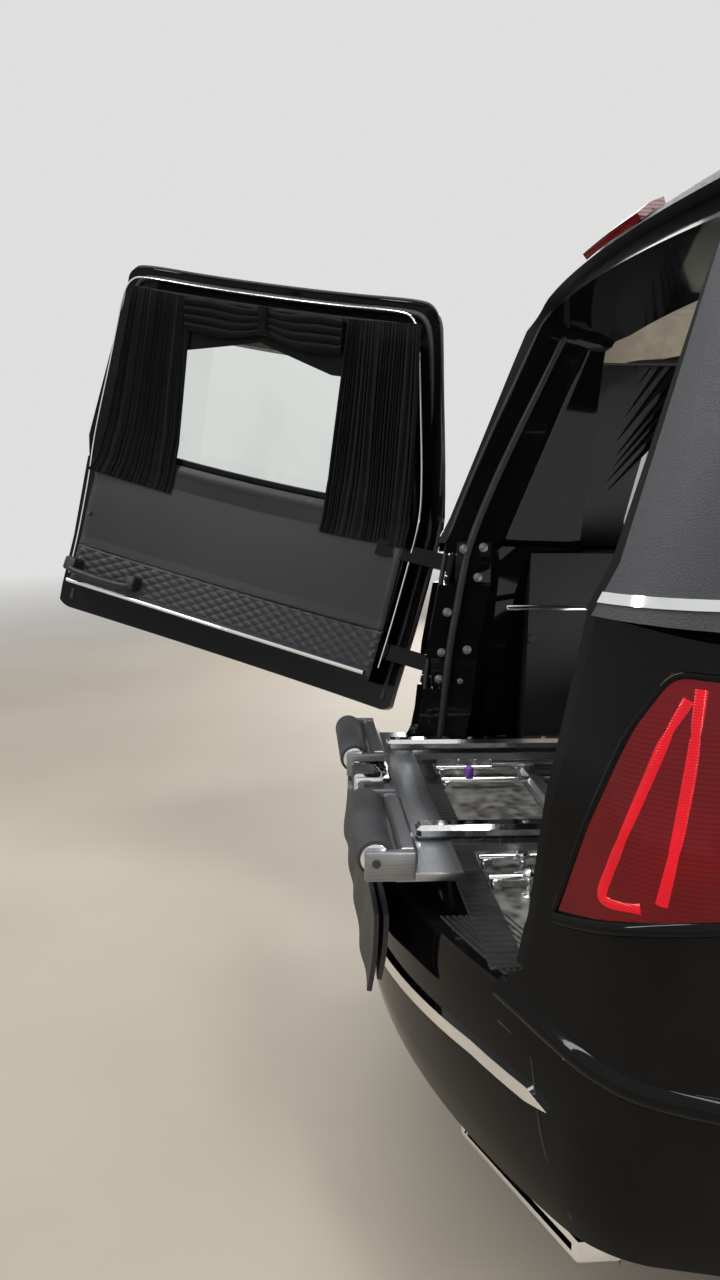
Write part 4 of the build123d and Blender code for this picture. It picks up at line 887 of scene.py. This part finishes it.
JAMB_X = -0.581
plates, bolts = [], []
for foot, head, y0, y1 in ((1.085, 1.190, 0.262, 0.352), (0.815, 0.925, 0.205, 0.300)):
    plates.append(block("plate", (JAMB_X - 0.006, TAIL_Y + y0 + 0.02, foot), (JAMB_X + 0.006, TAIL_Y + y1 + 0.02, head), 0.003, 2))
for y, z in ((0.300, 1.172), (0.350, 1.176), (0.338, 1.100), (0.262, 1.010), (0.316, 0.912), (0.250, 0.905),
             (0.245, 0.835), (0.300, 0.830)):
    bolts.append(turned_rod("bolt", (JAMB_X - 0.004, TAIL_Y + y, z), (JAMB_X + 0.013, TAIL_Y + y, z), 0.0085, 0.002, 6))
    bolts.append(turned_rod("washer", (JAMB_X - 0.004, TAIL_Y + y, z), (JAMB_X + 0.008, TAIL_Y + y, z), 0.0115, 0.001, 20))
dressed(joined("hinge_plates", plates), lightened_jamb_paint, "shell")
dressed(joined("hinge_bolts", bolts), steel, "shell")

# Load space: slanting curtains, ceiling lamp and rails, chrome strip and button on the side panels


def side_drape_place(side, rear_piece):
    """A gathered side curtain; the rear one slants back along the opening's pillar."""
    folds = 9 if rear_piece else 12

    def place(u, v):
        z = 1.172 + 0.463 * v
        share = 1 - u if side > 0 else u
        if rear_piece:
            y = TAIL_Y + 0.470 + 0.215 * v + share * (0.110 + 0.200 * v)
        else:
            y = -1.765 + share * 0.415
        depth = 0.746 - (z - 1.235) * 0.24
        phase = 2 * pi * folds * (share + 0.015 * sin(share * 17))
        fold = sin(phase) + 0.3 * sin(2 * phase + 1.0 + 2.5 * v)
        drift = 1 + 0.4 * noise(Vector((share * 8, v * 2.0, side * 5.0 + folds)))
        return Vector((side * (depth - 0.002 + 0.0062 * fold * drift), y, z))
    return place


for side, label in ((1, "right"), (-1, "left")):
    for rear_piece, end in ((True, "rear"), (False, "front")):
        drape = surface(f"side_curtain_{end}_{label}", 180, 36, side_drape_place(side, rear_piece))
        cloth(drape, drape_cloth, "shell",
              ("side_drapes",) if rear_piece else ())
    rail = tube(f"curtain_rail_{label}", [Vector((side * x, TAIL_Y + y, z)) for x, y, z in (
        (0.640, 0.60, 1.640), (0.643, 0.9, 1.645), (0.645, 1.4, 1.650), (0.645, 2.1, 1.650))], 0.009, sides=6)
    dressed(rail, plastic, "shell", 60.0)
    strip = block(f"side_panel_chrome_{label}", (min(side * 0.594, side * 0.602), TAIL_Y + 0.42, 1.012),
                  (max(side * 0.594, side * 0.602), TAIL_Y + 2.10, 1.026), 0.003, 2)
    dressed(strip, chrome, "shell")
    button = turned_rod(f"side_panel_button_{label}", (side * 0.602, TAIL_Y + 0.490, 0.935),
                        (side * 0.590, TAIL_Y + 0.490, 0.935), 0.011, 0.003)
    dressed(button, plastic, "shell", 40.0)
spot, normal = on_skin("headliner", (-0.205, TAIL_Y + 0.690, 1.2), (0, 0, 1))
lamp = block("ceiling_lamp", spot - Vector((0.075, 0.045, 0.008)), spot + Vector((0.075, 0.045, 0.004)), 0.004, 3)
dressed(lamp, warm_lamp, "shell")

# High stop lamp: a slim lens laid on the roof's rear edge

stop_lens = laid("stop_lamp_lens", "roof", 60, 8,
                 lambda u, v: ((0.148 - 0.296 * u, TAIL_Y + 0.452 + 0.040 * v, 2.4), (0, 0, -1)), 0.009, 0.014)
dressed(stop_lens, lamp_red, "shell", 50.0, ("stop_lamp",))
# Wheels: grooved tyres in place of the plain ones, bolts and hub caps on the rims

TYRE_PROFILE = ((0.233, -0.098), (0.250, -0.116), (0.290, -0.1178), (0.318, -0.115), (0.3265, -0.1155), (0.340, -0.098),
                (0.3452, -0.078), (0.3458, -0.052), (0.3385, -0.050), (0.3385, -0.043), (0.3460, -0.041),
                (0.3460, -0.014), (0.3385, -0.012), (0.3385, -0.005), (0.3460, -0.003))
SHOULDER_ROWS = (5, 6, 7)
TREAD_STEPS = 120


def tyre_form(name, centre_x, centre_y):
    """A tyre spun from its profile, with grooves round it and slots across its shoulders."""
    profile = list(TYRE_PROFILE) + [(r, -w) for r, w in reversed(TYRE_PROFILE)]
    mesh = bpy.data.meshes.new(name)
    shape = bmesh.new()
    rings = []
    for step in range(TREAD_STEPS):
        angle = 2 * pi * step / TREAD_STEPS
        ring = []
        for row, (radius, width) in enumerate(profile):
            mirrored_row = min(row, len(profile) - 1 - row)
            notch = 0.0055 if step % 4 == 0 and mirrored_row in SHOULDER_ROWS else 0.0
            reach = radius - notch
            ring.append(shape.verts.new((centre_x + width, centre_y + reach * cos(angle),
                                         WHEEL_Z + reach * sin(angle))))
        rings.append(ring)
    for ring, following in zip(rings, rings[1:] + rings[:1]):
        for row in range(len(profile)):
            after = (row + 1) % len(profile)
            shape.faces.new((ring[row], ring[after], following[after], following[row]))
    bmesh.ops.recalc_face_normals(shape, faces=shape.faces)
    shape.to_mesh(mesh)
    shape.free()
    piece = bpy.data.objects.new(name, mesh)
    bpy.context.scene.collection.objects.link(piece)
    return piece


WHEEL_Z, WHEEL_X = 0.346, 0.795
for corner in ("front_left", "front_right", "rear_left", "rear_right"):
    side = -1 if corner.endswith("left") else 1
    y = 1.73 if corner.startswith("front") else -1.73
    tyre = tyre_form(f"tyre_form_{corner}", side * WHEEL_X, y)
    dressed(tyre, tread_rubber, f"wheel_{corner}", 28.0, (f"tyre_{corner}",))
    hub_pieces = []
    for i in range(5):
        angle = 2 * pi * i / 5 + 0.3
        spot = Vector((0, y + 0.052 * cos(angle), WHEEL_Z + 0.052 * sin(angle)))
        face = side * (WHEEL_X + 0.058)
        hub_pieces.append(turned_rod("bolt", (face, spot.y, spot.z), (face + side * 0.013, spot.y, spot.z), 0.0095, 0.002, 6))
    hub_pieces.append(turned_rod("cap", (side * (WHEEL_X + 0.055), y, WHEEL_Z), (side * (WHEEL_X + 0.074), y, WHEEL_Z),
                                 0.031, 0.006, 40))
    dressed(joined(f"wheel_bolts_{corner}", hub_pieces), chrome, f"wheel_{corner}", 35.0)
    band = turned_rod(f"rim_lip_{corner}", (side * (WHEEL_X + 0.094), y, WHEEL_Z), (side * (WHEEL_X + 0.101), y, WHEEL_Z),
                      0.2318, 0.002, 96)
    bpy.context.tool_settings.mesh_select_mode = (False, False, True)
    for face in band.data.polygons:
        face.select = abs(face.normal.x) > 0.9
    bpy.ops.object.mode_set(mode="EDIT")
    bpy.ops.mesh.delete(type="FACE")
    bpy.ops.object.mode_set(mode="OBJECT")
    applied(band, "SOLIDIFY", thickness=0.006, offset=-1.0)
    dressed(band, alloy, f"wheel_{corner}", 40.0)

# Front seats: padded cushions, backs and head rests on their bases

SEAT_X = 0.365


def pad_form(name, centre, size, lean, channels, round_share=0.30):
    """A crowned pad with rounded edges, sides pulled in between its corners and sewn channels on its face."""
    bpy.ops.mesh.primitive_cube_add(size=2, location=(0, 0, 0))
    piece = bpy.context.object
    piece.name = name
    edited(piece, lambda: bpy.ops.mesh.subdivide(number_cuts=22))
    half = Vector(size) / 2
    for vertex in piece.data.vertices:
        a, b, c = vertex.co
        shrink = [1 - round_share * 0.5 * (1 - (1 - (p * p + q * q) / 2) ** 0.5) for p, q in ((b, c), (a, c), (a, b))]
        pulled = 1 - 0.035 * (1 - b * b) * abs(a) ** 3
        crown = 1 + 0.10 * (1 - a * a) * (1 - b * b)
        channel = 0.0
        if channels and c > 0.6 and abs(a) < 0.62:
            channel = 0.010 * max(0.0, 1 - abs(((a / 0.62 * channels) % 1.0) - 0.5) * 2 / 0.16 * 0.5) if channels else 0
        piping = 0.006 * max(0.0, 1 - abs(abs(a) - 0.70) / 0.03) if c > 0.6 else 0.0
        vertex.co = Vector((half.x * a * shrink[0] * pulled, half.y * b * shrink[1],
                            half.z * c * shrink[2] * crown - channel - piping))
    piece.rotation_euler = lean
    piece.location = centre
    take(piece)
    bpy.ops.object.transform_apply(location=True, rotation=True, scale=True)
    return applied(piece, "SUBSURF", levels=1, render_levels=1)


for side, label in ((1, "right"), (-1, "left")):
    x = side * SEAT_X
    for name, centre, size, lean, channels in (
            ("cushion", (x, -0.070, 0.492), (0.515, 0.515, 0.135), (radians(4), 0, 0), 5),
            ("back", (x, -0.335, 0.850), (0.500, 0.620, 0.125), (radians(104), 0, radians(180)), 5),
            ("head_rest", (x, -0.425, 1.225), (0.250, 0.150, 0.095), (radians(104), 0, radians(180)), 0)):
        pad = pad_form(f"seat_{name}_{label}", centre, size, lean, channels)
        dressed(pad, leather, "shell", 50.0, ("front_seats",) if name == "cushion" else ())
    base = block(f"seat_base_{label}", (x - 0.20, -0.280, 0.262), (x + 0.20, 0.140, 0.435), 0.02, 3)
    dressed(base, plastic, "shell")
    posts = [turned_rod("post", (x + shift, -0.394, 1.09), (x + shift, -0.414, 1.19), 0.006, 0.001, 16)
             for shift in (-0.06, 0.06)]
    dressed(joined(f"head_rest_posts_{label}", posts), chrome, "shell", 40.0)

# Side doors: bar handles

for body, y, z in (("front_door", -0.215, 0.905), ("rear_side_door", -1.145, 0.895)):
    for side, label in ((1, "right"), (-1, "left")):
        node = f"{body}_{label}"
        spots = []
        for shift in (-0.095, -0.088, -0.045, 0.045, 0.088, 0.095):
            spot, normal = on_skin(node, (side * 1.4, y + shift, z), (-side, 0, 0))
            if spot:
                spots.append(spot + normal * (0.004 if abs(shift) > 0.09 else 0.026))
        if len(spots) > 3:
            dressed(tube(f"{body}_bar_handle_{label}", spots, 0.0095, sides=8), chrome, body_of_node[node], 60.0)

# Front: bars' bright edges and lamp bowls behind the lenses


def front_aim(x0, x1, z0, z1):
    return lambda u, v: ((x0 + (x1 - x0) * u, 3.2, z0 + (z1 - z0) * v), (0, -1, 0))


dressed(laid("front_bumper_lower_chrome", "front_bumper", 120, 6, front_aim(-0.60, 0.60, 0.362, 0.376), 0.002, 0.006),
        chrome, "shell", 35.0)
for side, label in ((1, "right"), (-1, "left")):
    for i, (dx, radius) in enumerate(((0.555, 0.034), (0.645, 0.034))):
        spot, normal = on_skin("headlamps", (side * dx, 3.2, 0.722), (0, -1, 0))
        if spot:
            bowl = turned_rod(f"headlamp_projector_{label}_{i}", spot - Vector((0, 0.004, 0)),
                              spot - Vector((0, 0.030, 0)), radius, 0.004, 40)
            dressed(bowl, chrome, "shell", 40.0)

# Floor, walls of light and the camera of the photograph
GROUND_COLOUR = rgb(0.44, 0.385, 0.31)
BACK_COLOUR = (0.74, 0.74, 0.735)


def studio_floor():
    """Pale concrete near the car, which melts into the backdrop further out."""
    f = Finish("pale_floor")
    stain = f.spread(f.cloud(0.9, 5.0), 0.3, 0.75)
    speck = f.spread(f.cloud(220.0, 3.0), 0.55, 0.75)
    tone = f.blend(stain * 0.8 + 0.2 * speck, GROUND_COLOUR, rgb(0.36, 0.31, 0.245))
    shader = f.node("BsdfPrincipled", None, {"Base Color": tone, "Roughness": 0.62,
                                             "Normal": f.relief(f.cloud(60.0, 4.0), 0.08, 0.001)})
    distance = f.node("VectorMath", {"operation": "LENGTH"}, {0: f.place}, "Value")
    seen_ray = f.node("LightPath", None, None, "Is Camera Ray") + f.node("LightPath", None, None, "Is Glossy Ray")
    far = f.spread(distance, 6.5, 13.0) * f.spread(seen_ray, 0.0, 1.0)
    glow = f.node("Emission", None, {"Color": (*BACK_COLOUR, 1), "Strength": 1.0})
    mixed = f.node("MixShader", None, {0: far, 1: shader, 2: glow})
    output = f.tree.nodes.new("ShaderNodeOutputMaterial")
    f.tree.links.new(mixed.output, output.inputs["Surface"])
    return f.material


bpy.ops.object.select_all(action="DESELECT")
bpy.ops.mesh.primitive_plane_add(size=60, location=(0, 0, -0.001))
floor = bpy.context.object
floor.name = "floor"
floor.data.materials.append(studio_floor())

world = bpy.data.worlds.new("studio")
bpy.context.scene.world = world
world.use_nodes = True
world_nodes, world_links = world.node_tree.nodes, world.node_tree.links
world_nodes.clear()
path = world_nodes.new("ShaderNodeLightPath")
seen = world_nodes.new("ShaderNodeMath")
seen.operation, seen.use_clamp = "MULTIPLY_ADD", True
world_links.new(path.outputs["Is Camera Ray"], seen.inputs[0])
seen.inputs[1].default_value = 1.0
mirrored_rays = world_nodes.new("ShaderNodeMath")
mirrored_rays.operation = "MAXIMUM"
world_links.new(path.outputs["Is Glossy Ray"], mirrored_rays.inputs[0])
world_links.new(path.outputs["Is Transmission Ray"], mirrored_rays.inputs[1])
world_links.new(mirrored_rays.outputs[0], seen.inputs[2])
backdrop = world_nodes.new("ShaderNodeBackground")
backdrop.inputs["Color"].default_value = (*BACK_COLOUR, 1)
backdrop.inputs["Strength"].default_value = 1.0
room = world_nodes.new("ShaderNodeBackground")
room.inputs["Color"].default_value = (0.92, 0.95, 1.0, 1)
room.inputs["Strength"].default_value = 0.42
joined = world_nodes.new("ShaderNodeMixShader")
world_links.new(seen.outputs[0], joined.inputs[0])
world_links.new(room.outputs[0], joined.inputs[1])
world_links.new(backdrop.outputs[0], joined.inputs[2])
world_out = world_nodes.new("ShaderNodeOutputWorld")
world_links.new(joined.outputs[0], world_out.inputs["Surface"])


def soft_light(name, place, aim, size, power):
    """An area light pointed at a place on the car."""
    light = bpy.data.lights.new(name, "AREA")
    light.shape = "RECTANGLE"
    light.size, light.size_y = size
    light.energy = power
    lamp = bpy.data.objects.new(name, light)
    bpy.context.scene.collection.objects.link(lamp)
    lamp.visible_camera = lamp.visible_transmission = False
    lamp.location = place
    lamp.rotation_euler = (Vector(aim) - Vector(place)).to_track_quat("-Z", "Y").to_euler()
    return lamp


soft_light("ceiling_strip_rear", (0.6, -5.2, 4.6), (0, -3.2, 0.8), (0.5, 6.0), 190)
soft_light("ceiling_strip_side", (4.2, -1.5, 4.2), (0.8, -2.2, 0.8), (0.6, 7.0), 210)
soft_light("ceiling_front", (-1.5, 4.0, 5.0), (0, 1.0, 0.5), (4.0, 4.0), 240)
soft_light("fill_left", (-6.0, -2.0, 3.0), (-1.0, -2.5, 1.0), (3.0, 5.0), 160)
soft_light("load_space_lamp", (0.0, -2.3, 0.95), (0.0, -2.6, 2.0), (0.7, 1.2), 5)

CAMERA_PLACE = Vector((1.76, -3.578, 1.35))
CAMERA_YAW, CAMERA_PITCH, CAMERA_ROLL = radians(4.0), radians(9.98), radians(0.65)
LENS_MM, FILM_MM = 26.156, 36.0
ahead = Vector((-cos(CAMERA_YAW) * cos(CAMERA_PITCH), sin(CAMERA_YAW) * cos(CAMERA_PITCH), -sin(CAMERA_PITCH)))
level_right = ahead.cross(WORLD_UP).normalized()
level_up = level_right.cross(ahead)
right = level_right * cos(CAMERA_ROLL) + level_up * sin(CAMERA_ROLL)
up = level_up * cos(CAMERA_ROLL) - level_right * sin(CAMERA_ROLL)
lens_data = bpy.data.cameras.new("camera")
lens_data.lens, lens_data.sensor_width, lens_data.sensor_fit = LENS_MM, FILM_MM, "AUTO"
lens_data.clip_start = 0.02
camera = bpy.data.objects.new("camera", lens_data)
bpy.context.scene.collection.objects.link(camera)
camera.matrix_world = Matrix.Translation(CAMERA_PLACE) @ Matrix((right, up, -ahead)).transposed().to_4x4()
bpy.context.scene.camera = camera
bpy.context.scene.view_settings.view_transform = "Standard"
